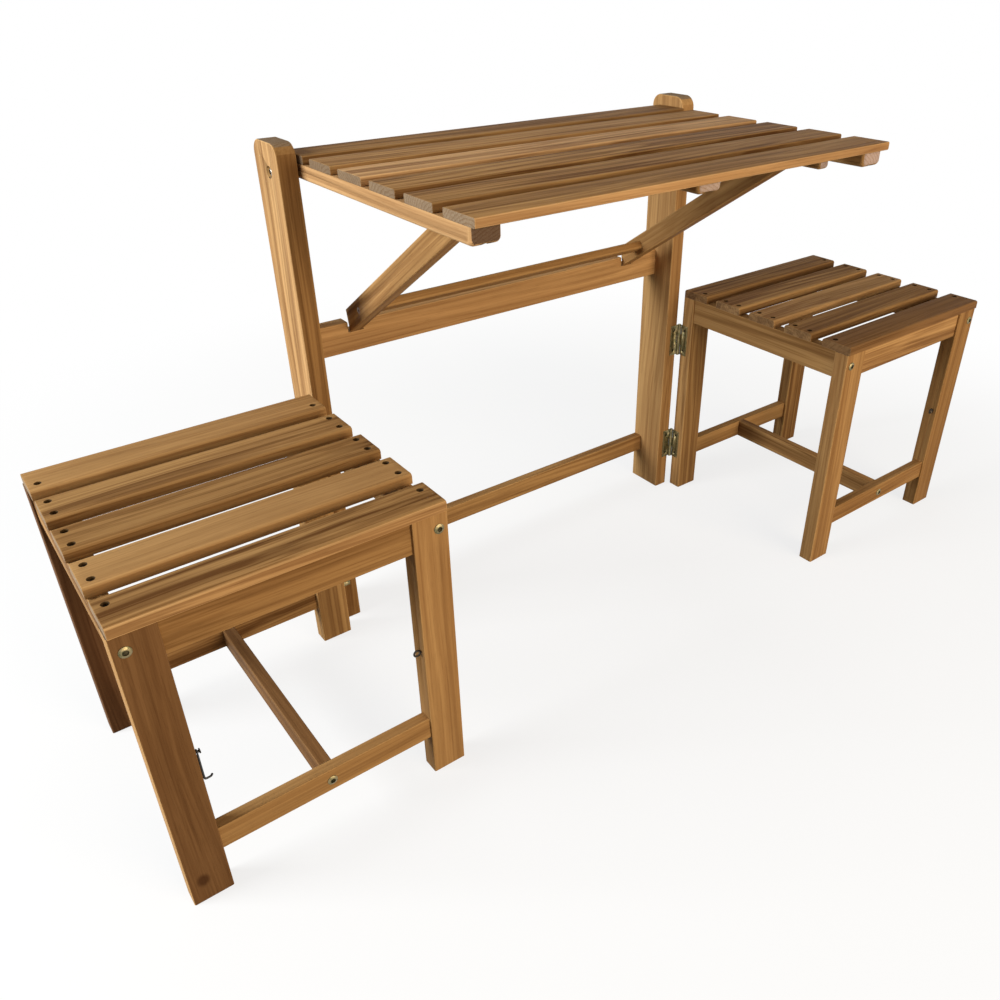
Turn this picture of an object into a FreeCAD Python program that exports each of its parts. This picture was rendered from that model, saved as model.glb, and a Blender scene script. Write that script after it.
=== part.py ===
import FreeCAD, Part
import math
import os

Vec = FreeCAD.Vector

# Posts and rails of the fixed frame
post_thickness = 27.5
post_depth = 73.0
post_clear_width = 694.0
post_above_leaf = 16.0
post_top_radius = 18.0
post_edge_radius = 2.0
upper_rail_top = 493.0
upper_rail_height = 47.0
upper_rail_thickness = 24.0
upper_rail_setback = 43.0
lower_rail_top = 99.0
lower_rail_height = 34.0
lower_rail_thickness = 18.0
lower_rail_setback = 54.0
rail_tenon_length = 15.0
rail_tenon_thickness = 8.0
rail_tenon_shoulder = 7.0
rail_edge_radius = 2.0

# Table leaf
leaf_top = 742.0
leaf_slat_count = 6
leaf_slat_width = 59.5
leaf_slat_gap = 20.0
leaf_slat_thickness = 11.0
leaf_slat_edge_radius = 2.0
leaf_back_reach = 52.0
batten_width = 40.0
batten_thickness = 21.0
middle_batten_thickness = 14.0
batten_post_gap = 4.0
batten_front_inset = 9.0
batten_back_inset = 6.0
batten_nose_radius = 7.0
batten_edge_radius = 7.0
leaf_pivot_setback = 30.0

# Prop frame under the leaf
prop_pivot_reach = 313.0
arm_width = 32.0
arm_thickness = 20.0
arm_post_gap = 63.5
arm_slat_clearance = 1.5
arm_foot_clearance = 0.6
arm_foot_lean = 11.0
arm_edge_radius = 2.0
notch_depth = 16.0
notch_side_clearance = 2.5
cleat_arm_clearance = 0.5
cleat_thickness = 30.0
cleat_back_margin = 31.0
cleat_front_margin = 57.0
cleat_nose_radius = 6.0
cleat_edge_radius = 4.0
cross_bar_width = 24.0
cross_bar_thickness = 14.0
cross_bar_from_foot = 55.0
cross_bar_edge_radius = 4.0

# Stools
seat_top = 422.0
seat_slat_count = 5
seat_slat_width = 57.0
seat_slat_gap = 22.2
seat_slat_thickness = 14.0
seat_slat_edge_radius = 3.0
seat_slat_end_inset = 1.0
seat_front_overhang = 2.0
stool_width = 379.8
leg_width = 48.0
leg_depth = 26.0
leg_edge_radius = 2.0
apron_height = 46.0
apron_thickness = 18.0
apron_front_inset = 4.0
side_apron_thickness = 20.0
side_apron_inset = 3.0
stretcher_bottom = 64.0
stretcher_height = 34.0
stretcher_thickness = 17.0
stretcher_front_inset = 3.0
stool_tenon_length = 14.0
stool_tenon_thickness = 8.0
stool_tenon_shoulder = 6.0
stool_edge_radius = 1.5

# Butt hinges between posts and stools
hinge_height = 60.0
hinge_upper_centre = 322.0
hinge_lower_centre = 96.0
hinge_closed_gap = 5.0
hinge_pin_offset = 4.2
hinge_leaf_width = 20.0
hinge_leaf_thickness = 2.0
hinge_leaf_recess = 1.0
hinge_knuckle_radius = 3.6
hinge_knuckle_clearance = 0.4
hinge_pin_radius = 1.8
hinge_pin_head_radius = 3.0
hinge_pin_head_height = 1.0
hinge_screw_reach = 12.5
hinge_screw_spacing = 40.0
hinge_screw_head_radius = 3.4
hinge_screw_shank_radius = 1.7
hinge_screw_length = 15.0

# Bolts and wood screws
running_clearance = 0.05
pivot_bolt_radius = 4.0
pivot_head_radius = 6.5
pivot_head_height = 5.0
pivot_counterbore_radius = 8.0
pivot_counterbore_depth = 6.0
pivot_bolt_grip = 35.0
washer_radius = 9.0
prop_bolt_radius = 3.0
prop_bolt_head_radius = 6.0
prop_bolt_head_height = 3.0
prop_bolt_head_clearance = 0.2
prop_bolt_grip = 18.0
prop_screw_radius = 2.5
prop_screw_head_radius = 5.0
prop_screw_length = 60.0
frame_bolt_radius = 3.0
frame_bolt_head_radius = 5.5
frame_bolt_head_height = 2.5
frame_bolt_grip = 30.0
frame_bolt_below_seat = 21.0
stretcher_bolt_grip = 30.0
wood_screw_radius = 2.0
wood_screw_head_radius = 3.7
wood_screw_head_height = 2.2
screw_hole_radius = 4.0
seat_screw_hole_depth = 5.0
seat_screw_grip = 15.0
seat_screw_pair_spacing = 31.0
seat_screw_edge_reach = 40.0
leaf_screw_hole_depth = 7.0
leaf_screw_grip = 7.5
leaf_screw_pair_spacing = 30.0
cleat_screw_first = 12.0
cleat_screw_spacing = 18.0

# Hook and eye latches
latch_front_inset = 9.0
hook_height = 218.0
eye_height = 210.0
stud_radius = 1.6
stud_reach = 4.6
stud_head_radius = 3.0
stud_head_height = 1.4
latch_screw_depth = 10.0
hook_wire_radius = 1.5
hook_length = 43.0
hook_tip_length = 9.0
hook_eyelet_radius = 3.6
hook_eyelet_thickness = 3.0
hook_face_gap = 0.6
hook_running_clearance = 0.08
eye_wire_radius = 1.3
eye_ring_radius = 4.2
eye_neck = 1.0

# Places worked out from the driving dimensions
leaf_depth = leaf_slat_count * leaf_slat_width + (leaf_slat_count - 1) * leaf_slat_gap
leaf_front_reach = leaf_depth - leaf_back_reach
post_front = (leaf_front_reach + post_depth) / 2.0 - post_depth
post_back = post_front + post_depth
post_height = leaf_top + post_above_leaf
post_inner = -post_clear_width / 2.0
post_outer = post_inner - post_thickness
slat_underside = leaf_top - leaf_slat_thickness
batten_underside = slat_underside - batten_thickness
middle_batten_underside = slat_underside - middle_batten_thickness
batten_outer = post_inner + batten_post_gap
batten_inner = batten_outer + batten_width
leaf_slat_length = post_clear_width - 2.0 * batten_post_gap
leaf_back = post_front + leaf_back_reach
leaf_front = post_front - leaf_front_reach
batten_front = leaf_front + batten_front_inset
batten_back = leaf_back - batten_back_inset
leaf_pivot_y = post_front + leaf_pivot_setback
leaf_pivot_z = slat_underside - batten_thickness / 2.0
rail_front = post_front + upper_rail_setback
notch_floor = upper_rail_top - notch_depth
arm_outer = post_inner + arm_post_gap
arm_inner = arm_outer + arm_thickness
prop_pivot_y = leaf_pivot_y - prop_pivot_reach
prop_pivot_z = slat_underside - arm_width / 2.0 - arm_slat_clearance
cleat_inner = arm_outer - cleat_arm_clearance
cleat_back = prop_pivot_y + cleat_back_margin
cleat_front = prop_pivot_y - cleat_front_margin
hinge_x = post_outer - hinge_pin_offset
hinge_y = post_front - hinge_closed_gap / 2.0
stool_inner = hinge_x - hinge_closed_gap / 2.0
stool_outer = stool_inner - stool_width
stool_back = hinge_y - hinge_pin_offset
seat_depth = seat_slat_count * seat_slat_width + (seat_slat_count - 1) * seat_slat_gap
seat_front = stool_back - seat_depth
stool_front = seat_front + seat_front_overhang
seat_underside = seat_top - seat_slat_thickness
stool_middle = (stool_inner + stool_outer) / 2.0
side_apron_centre = side_apron_inset + side_apron_thickness / 2.0


# Shape helpers
def box(x_range, y_range, z_range):
    """A box between the two values of each range, in either order."""
    low = Vec(min(x_range), min(y_range), min(z_range))
    high = Vec(max(x_range), max(y_range), max(z_range))
    size = high - low
    return Part.makeBox(size.x, size.y, size.z, low)


def rod(start, direction, radius, length):
    return Part.makeCylinder(radius, length, start, direction)


def joined(shapes):
    return shapes[0].multiFuse(shapes[1:]).removeSplitter()


def rounded(shape, radius, chosen):
    """Round every straight edge whose middle point and direction pass the test."""
    edges = []
    for edge in shape.Edges:
        if edge.Curve.TypeId != "Part::GeomLine":
            continue
        start, end = edge.Vertexes[0].Point, edge.Vertexes[-1].Point
        if chosen((start + end) * 0.5, (end - start).normalize()):
            edges.append(edge)
    return shape.makeFillet(radius, edges)


def along(axis):
    """A test for edges that run along one axis, 0 for X, 1 for Y and 2 for Z."""
    return lambda middle, way: abs(way[axis]) > 0.99


def mirrored(shape):
    """The same piece on the other side of the middle plane."""
    return shape.mirror(Vec(0, 0, 0), Vec(1, 0, 0))


def both_sides(shapes):
    return list(shapes) + [mirrored(shape) for shape in shapes]


def group(shapes):
    return Part.makeCompound(shapes)


def cut_by(shape, tools):
    return shape.cut(list(tools)) if tools else shape


def wood_screw(seat, way, length):
    """A pan-head screw: its head stands on the seat, its shank runs along the way."""
    head = rod(seat - way * wood_screw_head_height, way, wood_screw_head_radius, wood_screw_head_height)
    return joined([head, rod(seat, way, wood_screw_radius, length)])


def button_bolt(seat, way, length):
    """A low round-headed bolt with a socket in its head."""
    head = rod(seat - way * frame_bolt_head_height, way, frame_bolt_head_radius, frame_bolt_head_height)
    socket = rod(seat - way * frame_bolt_head_height, way, frame_bolt_head_radius / 2.5, frame_bolt_head_height / 2.0)
    return joined([head, rod(seat, way, frame_bolt_radius, length)]).cut(socket)


# Table leaf
def leaf_screw_places(batten_middle, underside):
    """Screw positions, two for each slat that a batten carries."""
    places = []
    for index in range(leaf_slat_count):
        middle = leaf_back - index * (leaf_slat_width + leaf_slat_gap) - leaf_slat_width / 2.0
        for side in (-0.5, 0.5):
            places.append(Vec(batten_middle, middle + side * leaf_screw_pair_spacing, underside))
    return places


def leaf_screws():
    """Screws from below through the battens and cleats into the slats."""
    up = Vec(0, 0, 1)
    end_middle = (batten_outer + batten_inner) / 2.0
    places = leaf_screw_places(0.0, middle_batten_underside)
    for middle in (end_middle, -end_middle):
        places += leaf_screw_places(middle, batten_underside)
    cleat_middle = (batten_inner + cleat_inner) / 2.0
    for middle in (cleat_middle, -cleat_middle):
        for step in range(2):
            y = prop_pivot_y - cleat_screw_first - step * cleat_screw_spacing
            places.append(Vec(middle, y, slat_underside - cleat_thickness))
    screws, holes = [], []
    for place in places:
        seat = place + up * leaf_screw_hole_depth
        screws.append(wood_screw(seat, up, slat_underside + leaf_screw_grip - seat.z))
        holes.append(rod(place, up, screw_hole_radius, leaf_screw_hole_depth))
    return screws, holes


def leaf_slat(index, screws):
    back = leaf_back - index * (leaf_slat_width + leaf_slat_gap)
    half = leaf_slat_length / 2.0
    slat = box((-half, half), (back - leaf_slat_width, back), (slat_underside, leaf_top))
    return rounded(slat, leaf_slat_edge_radius, along(0)).cut(screws)


def batten(x_range, underside):
    bar = box(x_range, (batten_front, batten_back), (underside, slat_underside))
    return rounded_below(bar, underside, batten_nose_radius, batten_edge_radius)


def rounded_below(bar, underside, nose_radius, edge_radius):
    """Round the ends of a bar's underside, then its long lower edges."""
    bar = rounded(bar, nose_radius, lambda middle, way: abs(way.x) > 0.99 and middle.z < underside + 1)
    return rounded(bar, edge_radius, lambda middle, way: abs(way.y) > 0.99 and middle.z < underside + 1)


def pivot_hole(radius):
    return rod(Vec(post_outer, leaf_pivot_y, leaf_pivot_z), Vec(1, 0, 0), radius, post_thickness + batten_width)


def end_batten():
    bar = batten((batten_outer, batten_inner), batten_underside)
    return bar.cut(pivot_hole(pivot_bolt_radius + running_clearance))


def prop_cleat():
    underside = slat_underside - cleat_thickness
    cleat = box((batten_inner, cleat_inner), (cleat_front, cleat_back), (underside, slat_underside))
    return rounded_below(cleat, underside, cleat_nose_radius, cleat_edge_radius).cut(prop_bolt())


def prop_bolt():
    """The shouldered bolt that an arm turns on, held in its cleat."""
    way = Vec(-1, 0, 0)
    seat = Vec(arm_inner + prop_bolt_head_clearance, prop_pivot_y, prop_pivot_z)
    length = arm_thickness + cleat_arm_clearance + prop_bolt_head_clearance + prop_bolt_grip
    head = rod(seat - way * prop_bolt_head_height, way, prop_bolt_head_radius, prop_bolt_head_height)
    return joined([head, rod(seat, way, prop_bolt_radius, length)])


# Prop frame
def prop_axis():
    """The arm's foot corner, its direction down the arm and its upward normal."""
    pivot = Vec(0, prop_pivot_y, prop_pivot_z)
    foot = Vec(0, rail_front - arm_foot_clearance, notch_floor + arm_foot_clearance)
    reach = foot - pivot
    turn = math.asin(arm_width / 2.0 / reach.Length)
    angle = math.atan2(-reach.z, reach.y) - turn
    way = Vec(0, math.cos(angle), -math.sin(angle))
    normal = Vec(0, math.sin(angle), math.cos(angle))
    return pivot, foot, way, normal


def prop_arm(screw):
    pivot, foot, way, normal = prop_axis()
    lean = Vec(0, math.sin(math.radians(arm_foot_lean)), math.cos(math.radians(arm_foot_lean)))
    upper_corner = foot + lean * (arm_width / lean.dot(normal))
    outline = [pivot - normal * (arm_width / 2.0), foot, upper_corner, pivot + normal * (arm_width / 2.0)]
    outline = [point + Vec(arm_outer, 0, 0) for point in outline]
    face = Part.Face(Part.makePolygon(outline + outline[:1]))
    shaft = face.extrude(Vec(arm_thickness, 0, 0))
    eye = rod(Vec(arm_outer, prop_pivot_y, prop_pivot_z), Vec(1, 0, 0), arm_width / 2.0, arm_thickness)
    arm = joined([shaft, eye])
    arm = rounded(arm, arm_edge_radius, lambda middle, edge_way: abs(edge_way.dot(way)) > 0.99)
    bore = rod(Vec(arm_outer, prop_pivot_y, prop_pivot_z), Vec(1, 0, 0),
               prop_bolt_radius + running_clearance, arm_thickness)
    return arm.cut([bore, screw])


def cross_bar_middle():
    pivot, foot, way, normal = prop_axis()
    return foot + normal * (arm_width / 2.0) - way * cross_bar_from_foot


def cross_bar(screws):
    pivot, foot, way, normal = prop_axis()
    middle = cross_bar_middle()
    along_arm = way * (cross_bar_width / 2.0)
    across_arm = normal * (cross_bar_thickness / 2.0)
    corners = [middle - along_arm - across_arm, middle + along_arm - across_arm,
               middle + along_arm + across_arm, middle - along_arm + across_arm]
    corners = [corner + Vec(arm_inner, 0, 0) for corner in corners]
    face = Part.Face(Part.makePolygon(corners + corners[:1]))
    bar = face.extrude(Vec(-2.0 * arm_inner, 0, 0))
    return rounded(bar, cross_bar_edge_radius, along(0)).cut(screws)


def prop_screw():
    """A countersunk screw through an arm into the end of the cross bar."""
    start = cross_bar_middle() + Vec(arm_outer, 0, 0)
    way = Vec(1, 0, 0)
    head = Part.makeCone(prop_screw_head_radius, prop_screw_radius, prop_screw_head_radius - prop_screw_radius,
                         start, way)
    return joined([head, rod(start, way, prop_screw_radius, prop_screw_length)])


# Fixed frame
def rail(top, height, thickness, setback):
    """A rail between the posts with a stub tenon at each end."""
    front = post_front + setback
    bar = box((post_inner, -post_inner), (front, front + thickness), (top - height, top))
    return rounded(bar, rail_edge_radius, along(0)), rail_tenon(top, height, thickness, setback)


def rail_tenon(top, height, thickness, setback):
    middle = post_front + setback + thickness / 2.0
    return box((post_inner - rail_tenon_length, post_inner),
               (middle - rail_tenon_thickness / 2.0, middle + rail_tenon_thickness / 2.0),
               (top - height + rail_tenon_shoulder, top - rail_tenon_shoulder))


def upper_rail():
    bar, tenon = rail(upper_rail_top, upper_rail_height, upper_rail_thickness, upper_rail_setback)
    notch = box((arm_outer - notch_side_clearance, arm_inner + notch_side_clearance),
                (post_front, post_back), (notch_floor, post_height))
    return joined([bar] + both_sides([tenon])).cut(both_sides([notch]))


def lower_rail():
    bar, tenon = rail(lower_rail_top, lower_rail_height, lower_rail_thickness, lower_rail_setback)
    return joined([bar] + both_sides([tenon]))


def left_post(cutters):
    post = box((post_outer, post_inner), (post_front, post_back), (0, post_height))
    post = rounded(post, post_top_radius,
                   lambda middle, way: abs(way.x) > 0.99 and middle.z > post_height - 1)
    post = rounded(post, post_edge_radius, along(2))
    counterbore = rod(Vec(post_outer, leaf_pivot_y, leaf_pivot_z), Vec(1, 0, 0),
                      pivot_counterbore_radius, pivot_counterbore_depth)
    tenons = [rail_tenon(upper_rail_top, upper_rail_height, upper_rail_thickness, upper_rail_setback),
              rail_tenon(lower_rail_top, lower_rail_height, lower_rail_thickness, lower_rail_setback)]
    return post.cut([counterbore, pivot_hole(pivot_bolt_radius)] + tenons + cutters)


def pivot_bolt():
    """The bolt that the leaf turns on, its head sunk in the post's outer face."""
    way = Vec(1, 0, 0)
    seat = Vec(post_outer + pivot_counterbore_depth, leaf_pivot_y, leaf_pivot_z)
    head = rod(seat - way * pivot_head_height, way, pivot_head_radius, pivot_head_height)
    socket = rod(seat - way * pivot_head_height, way, pivot_head_radius / 2.2, pivot_head_height / 2.0)
    length = post_thickness - pivot_counterbore_depth + batten_post_gap + pivot_bolt_grip
    return joined([head, rod(seat, way, pivot_bolt_radius, length)]).cut(socket)


def pivot_washer():
    start = Vec(post_inner, leaf_pivot_y, leaf_pivot_z)
    thickness = batten_post_gap - running_clearance
    disc = rod(start, Vec(1, 0, 0), washer_radius, thickness)
    return disc.cut(rod(start, Vec(1, 0, 0), pivot_bolt_radius, thickness))


# Hinges: "out" runs from the pin along a leaf, "back" from the pin into the wood
def hinge_block(out, back, out_range, back_range, z_range):
    pin = Vec(hinge_x, hinge_y, 0)
    low = pin + out * out_range[0] + back * back_range[0]
    high = pin + out * out_range[1] + back * back_range[1]
    return box((low.x, high.x), (low.y, high.y), z_range)


def hinge_plate(out, back, centre):
    surface = hinge_closed_gap / 2.0 + hinge_leaf_recess
    z_range = (centre - hinge_height / 2.0, centre + hinge_height / 2.0)
    return hinge_block(out, back, (0, hinge_leaf_width), (surface - hinge_leaf_thickness, surface), z_range)


def hinge_column(z_range, radius):
    return rod(Vec(hinge_x, hinge_y, z_range[0]), Vec(0, 0, 1), radius, z_range[1] - z_range[0])


def hinge_thirds(centre):
    """Height ranges of the three knuckles, from the bottom one up."""
    bottom = centre - hinge_height / 2.0
    third = hinge_height / 3.0
    gap = hinge_knuckle_clearance / 2.0
    return [(bottom + i * third + gap * (i > 0), bottom + (i + 1) * third - gap * (i < 2)) for i in range(3)]


def hinge_leaf(out, back, centre, own, bore, screws):
    """One hinge leaf with the knuckles it owns, the others cut clear."""
    thirds = hinge_thirds(centre)
    knuckles = [hinge_column(thirds[i], hinge_knuckle_radius) for i in own]
    clear = hinge_knuckle_radius + hinge_knuckle_clearance
    gaps = []
    for i, z_range in enumerate(thirds):
        if i not in own:
            wider = (z_range[0] - hinge_knuckle_clearance, z_range[1] + hinge_knuckle_clearance)
            gaps.append(hinge_column(wider, clear))
    leaf = hinge_plate(out, back, centre).cut(gaps)
    pin_hole = hinge_column((centre - hinge_height, centre + hinge_height), bore)
    return joined([leaf] + knuckles).cut([pin_hole] + screws)


def hinge_screws(out, back, centre):
    """Countersunk screws through a hinge leaf, their heads flush with the plate."""
    start = hinge_closed_gap / 2.0 + hinge_leaf_recess - hinge_leaf_thickness
    screws = []
    for side in (-0.5, 0.5):
        place = Vec(hinge_x, hinge_y, centre + side * hinge_screw_spacing)
        place = place + out * hinge_screw_reach + back * start
        depth = hinge_screw_head_radius - hinge_screw_shank_radius
        head = Part.makeCone(hinge_screw_head_radius, hinge_screw_shank_radius, depth, place, back)
        screws.append(joined([head, rod(place, back, hinge_screw_shank_radius, hinge_screw_length)]))
    return screws


def hinge_pin(centre):
    half = hinge_height / 2.0
    shaft = hinge_column((centre - half, centre + half), hinge_pin_radius)
    heads = [hinge_column((centre + half, centre + half + hinge_pin_head_height), hinge_pin_head_radius),
             hinge_column((centre - half - hinge_pin_head_height, centre - half), hinge_pin_head_radius)]
    return joined([shaft] + heads)


def hinge_set(out, back, own, bore):
    """Leaves, screws and wood recesses of one member's two hinges."""
    leaves, screws, recesses = [], [], []
    for centre in (hinge_upper_centre, hinge_lower_centre):
        own_screws = hinge_screws(out, back, centre)
        leaves.append(hinge_leaf(out, back, centre, own, bore, own_screws))
        screws += own_screws
        recesses.append(hinge_plate(out, back, centre))
    return leaves, screws, recesses


# Stools, built on the left and mirrored
def stool_members():
    """Plain members of the left stool with the tenons of the ones along X."""
    outer_leg = (stool_outer, stool_outer + leg_width)
    inner_leg = (stool_inner - leg_width, stool_inner)
    front_row = (stool_front, stool_front + leg_depth)
    back_row = (stool_back - leg_depth, stool_back)
    between = (outer_leg[1], inner_leg[0])
    apron_z = (seat_underside - apron_height, seat_underside)
    stretcher_z = (stretcher_bottom, stretcher_bottom + stretcher_height)
    rows = {"front": (stool_front, 1), "back": (stool_back, -1)}
    members, tenons = {}, {}
    for row, (face, inward) in rows.items():
        apron_y = [face + inward * (apron_front_inset + t) for t in (0, apron_thickness)]
        stretcher_y = [face + inward * (stretcher_front_inset + t) for t in (0, stretcher_thickness)]
        for name, y_range, z_range in (("apron", apron_y, apron_z), ("stretcher", stretcher_y, stretcher_z)):
            bar = rounded(box(between, y_range, z_range), stool_edge_radius, along(0))
            middle = sum(y_range) / 2.0
            half = stool_tenon_thickness / 2.0
            tenon = box((between[0] - stool_tenon_length, between[1] + stool_tenon_length),
                        (middle - half, middle + half),
                        (z_range[0] + stool_tenon_shoulder, z_range[1] - stool_tenon_shoulder))
            members[row + "_" + name] = joined([bar, tenon])
            tenons[row + "_" + name] = tenon
    for column, x_range in (("outer", outer_leg), ("inner", inner_leg)):
        for row, y_range in (("front", front_row), ("back", back_row)):
            leg = rounded(box(x_range, y_range, (0, seat_underside)), leg_edge_radius, along(2))
            members[row + "_" + column + "_leg"] = leg.cut([tenons[row + "_apron"], tenons[row + "_stretcher"]])
    apron_x = {"outer": (stool_outer + side_apron_inset, stool_outer + side_apron_inset + side_apron_thickness),
               "inner": (stool_inner - side_apron_inset, stool_inner - side_apron_inset - side_apron_thickness)}
    for column, x_range in apron_x.items():
        bar = box(x_range, (front_row[1], back_row[0]), apron_z)
        members[column + "_side_apron"] = rounded(bar, stool_edge_radius, along(1))
    gap = stretcher_front_inset + stretcher_thickness
    middle_x = (stool_middle - stretcher_thickness / 2.0, stool_middle + stretcher_thickness / 2.0)
    bar = box(middle_x, (stool_front + gap, stool_back - gap), stretcher_z)
    members["centre_stretcher"] = rounded(bar, stool_edge_radius, along(1))
    return members


def seat_slats():
    slats = []
    for index in range(seat_slat_count):
        back = stool_back - index * (seat_slat_width + seat_slat_gap)
        slat = box((stool_outer + seat_slat_end_inset, stool_inner - seat_slat_end_inset),
                   (back - seat_slat_width, back), (seat_underside, seat_top))
        slats.append(rounded(slat, seat_slat_edge_radius,
                             lambda middle, way: abs(way.x) > 0.99 and middle.z > seat_top - 1))
    return slats


def seat_screw_rows():
    """Distances of the seat screws from the seat's back edge."""
    rows = [seat_screw_edge_reach, seat_depth - seat_screw_edge_reach]
    for index in range(1, seat_slat_count - 1):
        middle = index * (seat_slat_width + seat_slat_gap) + seat_slat_width / 2.0
        rows += [middle - seat_screw_pair_spacing / 2.0, middle + seat_screw_pair_spacing / 2.0]
    return rows


def seat_screws():
    down = Vec(0, 0, -1)
    screws, holes = [], []
    for x in (stool_outer + side_apron_centre, stool_inner - side_apron_centre):
        for reach in seat_screw_rows():
            top = Vec(x, stool_back - reach, seat_top)
            seat = top + down * seat_screw_hole_depth
            screws.append(wood_screw(seat, down, seat_slat_thickness - seat_screw_hole_depth + seat_screw_grip))
            holes.append(rod(top, down, screw_hole_radius, seat_screw_hole_depth))
    return screws, holes


def stool_bolts():
    """Bolts from the legs into the side aprons and into the centre stretcher's ends."""
    bolts = []
    for face, way in ((stool_front, Vec(0, 1, 0)), (stool_back, Vec(0, -1, 0))):
        for x in (stool_outer + side_apron_centre, stool_inner - side_apron_centre):
            seat = Vec(x, face, seat_underside - frame_bolt_below_seat)
            bolts.append(button_bolt(seat, way, leg_depth + frame_bolt_grip))
        seat = Vec(stool_middle, face, stretcher_bottom + stretcher_height / 2.0)
        bolts.append(button_bolt(seat + way * stretcher_front_inset, way, stretcher_thickness + stretcher_bolt_grip))
    return bolts


# Latches: "side" points from the leg's face toward the middle of the stool
def latch_place(face_x, height):
    return Vec(face_x, stool_front + latch_front_inset, height)


def hook_stud(face_x, side):
    """The headed screw that a hook hangs on."""
    way = Vec(side, 0, 0)
    base = latch_place(face_x, hook_height)
    shank = rod(base - way * latch_screw_depth, way, stud_radius, latch_screw_depth + stud_reach)
    head = rod(base + way * stud_reach, way, stud_head_radius, stud_head_height)
    return joined([shank, head])


def hook(face_x, side):
    way = Vec(side, 0, 0)
    base = latch_place(face_x, hook_height)
    near = base + way * hook_face_gap
    eyelet = rod(near, way, hook_eyelet_radius, hook_eyelet_thickness)
    core = near + way * (hook_eyelet_thickness / 2.0)
    bend = core - Vec(0, 0, hook_length)
    shank = rod(bend, Vec(0, 0, 1), hook_wire_radius, hook_length)
    tip = rod(bend, way, hook_wire_radius, hook_tip_length)
    ends = [Part.makeSphere(hook_wire_radius, bend), Part.makeSphere(hook_wire_radius, bend + way * hook_tip_length)]
    bore = rod(base, way, stud_radius + hook_running_clearance, hook_face_gap + 2.0 * hook_eyelet_thickness)
    return joined([eyelet, shank, tip] + ends).cut(bore)


def catch_eye(face_x, side):
    """A screw eye with its ring upright, square to the leg's face."""
    way = Vec(side, 0, 0)
    base = latch_place(face_x, eye_height)
    shank = rod(base - way * latch_screw_depth, way, eye_wire_radius, latch_screw_depth + eye_neck)
    ring = Part.makeTorus(eye_ring_radius, eye_wire_radius, base + way * (eye_neck + eye_ring_radius), Vec(0, 1, 0))
    return joined([shank, ring])


def build():
    """Every sub-part by name."""
    parts = {}
    screws, screw_holes = leaf_screws()
    for index in range(leaf_slat_count):
        parts["leaf_slat_%d" % (index + 1)] = leaf_slat(index, screws)
    left_batten = end_batten().cut(screws + screw_holes)
    cleat = prop_cleat().cut(screws + screw_holes)
    middle_range = (-batten_width / 2.0, batten_width / 2.0)
    parts["left_end_batten"] = left_batten
    parts["right_end_batten"] = mirrored(left_batten)
    parts["middle_batten"] = batten(middle_range, middle_batten_underside).cut(screws + screw_holes)
    parts["left_prop_cleat"] = cleat
    parts["right_prop_cleat"] = mirrored(cleat)
    parts["leaf_screws"] = group(screws)
    parts["prop_pivot_bolts"] = group(both_sides([prop_bolt()]))

    bar_screws = both_sides([prop_screw()])
    arm = prop_arm(bar_screws[0])
    parts["left_prop_arm"] = arm
    parts["right_prop_arm"] = mirrored(arm)
    parts["prop_cross_bar"] = cross_bar(bar_screws)
    parts["prop_screws"] = group(bar_screws)

    toward_middle, toward_front = Vec(1, 0, 0), Vec(0, -1, 0)
    into_post, into_leg = Vec(0, 1, 0), Vec(-1, 0, 0)
    post_leaves, post_screws, post_recesses = hinge_set(toward_middle, into_post, (0, 2), hinge_pin_radius)
    post = left_post(post_recesses + post_screws)
    parts["left_post"] = post
    parts["right_post"] = mirrored(post)
    parts["upper_rail"] = upper_rail()
    parts["lower_rail"] = lower_rail()
    parts["pivot_bolts"] = group(both_sides([pivot_bolt()]))
    parts["pivot_washers"] = group(both_sides([pivot_washer()]))
    parts["post_hinge_leaves"] = group(both_sides(post_leaves))
    parts["post_hinge_screws"] = group(both_sides(post_screws))
    parts["hinge_pins"] = group(both_sides([hinge_pin(hinge_upper_centre), hinge_pin(hinge_lower_centre)]))

    leg_leaves, leg_screws, leg_recesses = hinge_set(toward_front, into_leg, (1,),
                                                     hinge_pin_radius + running_clearance)
    slat_screws, slat_holes = seat_screws()
    bolts = stool_bolts()
    members = stool_members()
    outer_face = stool_outer + leg_width
    inner_face = stool_inner - leg_width
    for side, turn in (("left", 1), ("right", -1)):
        place = mirrored if turn < 0 else Part.Shape.copy
        hook_face, eye_face = (outer_face, inner_face) if turn > 0 else (inner_face, outer_face)
        hook_way = 1 if turn > 0 else -1
        stud = hook_stud(hook_face, hook_way)
        eye = catch_eye(eye_face, -hook_way)
        cutters = {"back_inner_leg": leg_recesses + leg_screws + bolts,
                   "front_inner_leg": bolts + [stud, eye], "front_outer_leg": bolts + [stud, eye],
                   "back_outer_leg": bolts, "outer_side_apron": bolts + slat_screws,
                   "inner_side_apron": bolts + slat_screws, "centre_stretcher": bolts,
                   "front_stretcher": bolts, "back_stretcher": bolts}
        for name, member in members.items():
            parts[side + "_stool_" + name] = place(cut_by(member, cutters.get(name, [])))
        slats = [slat.cut(slat_screws + slat_holes) for slat in seat_slats()]
        parts[side + "_stool_seat_slats"] = place(group(slats))
        parts[side + "_stool_screws"] = place(group(slat_screws + leg_screws))
        parts[side + "_stool_bolts"] = place(group(bolts))
        parts[side + "_stool_hinge_leaves"] = place(group(leg_leaves))
        parts[side + "_stool_latch_eyes"] = place(group([stud, eye]))
        parts[side + "_hook"] = place(hook(hook_face, hook_way))
    return parts


def main():
    os.makedirs("parts", exist_ok=True)
    for name, shape in build().items():
        shape.exportStep(os.path.join("parts", name + ".step"))


main()
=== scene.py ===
"""Folding balcony table set: oiled wood, aged brass and zinc on the CAD frame."""

import functools
import math
import random
from collections import namedtuple

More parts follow.
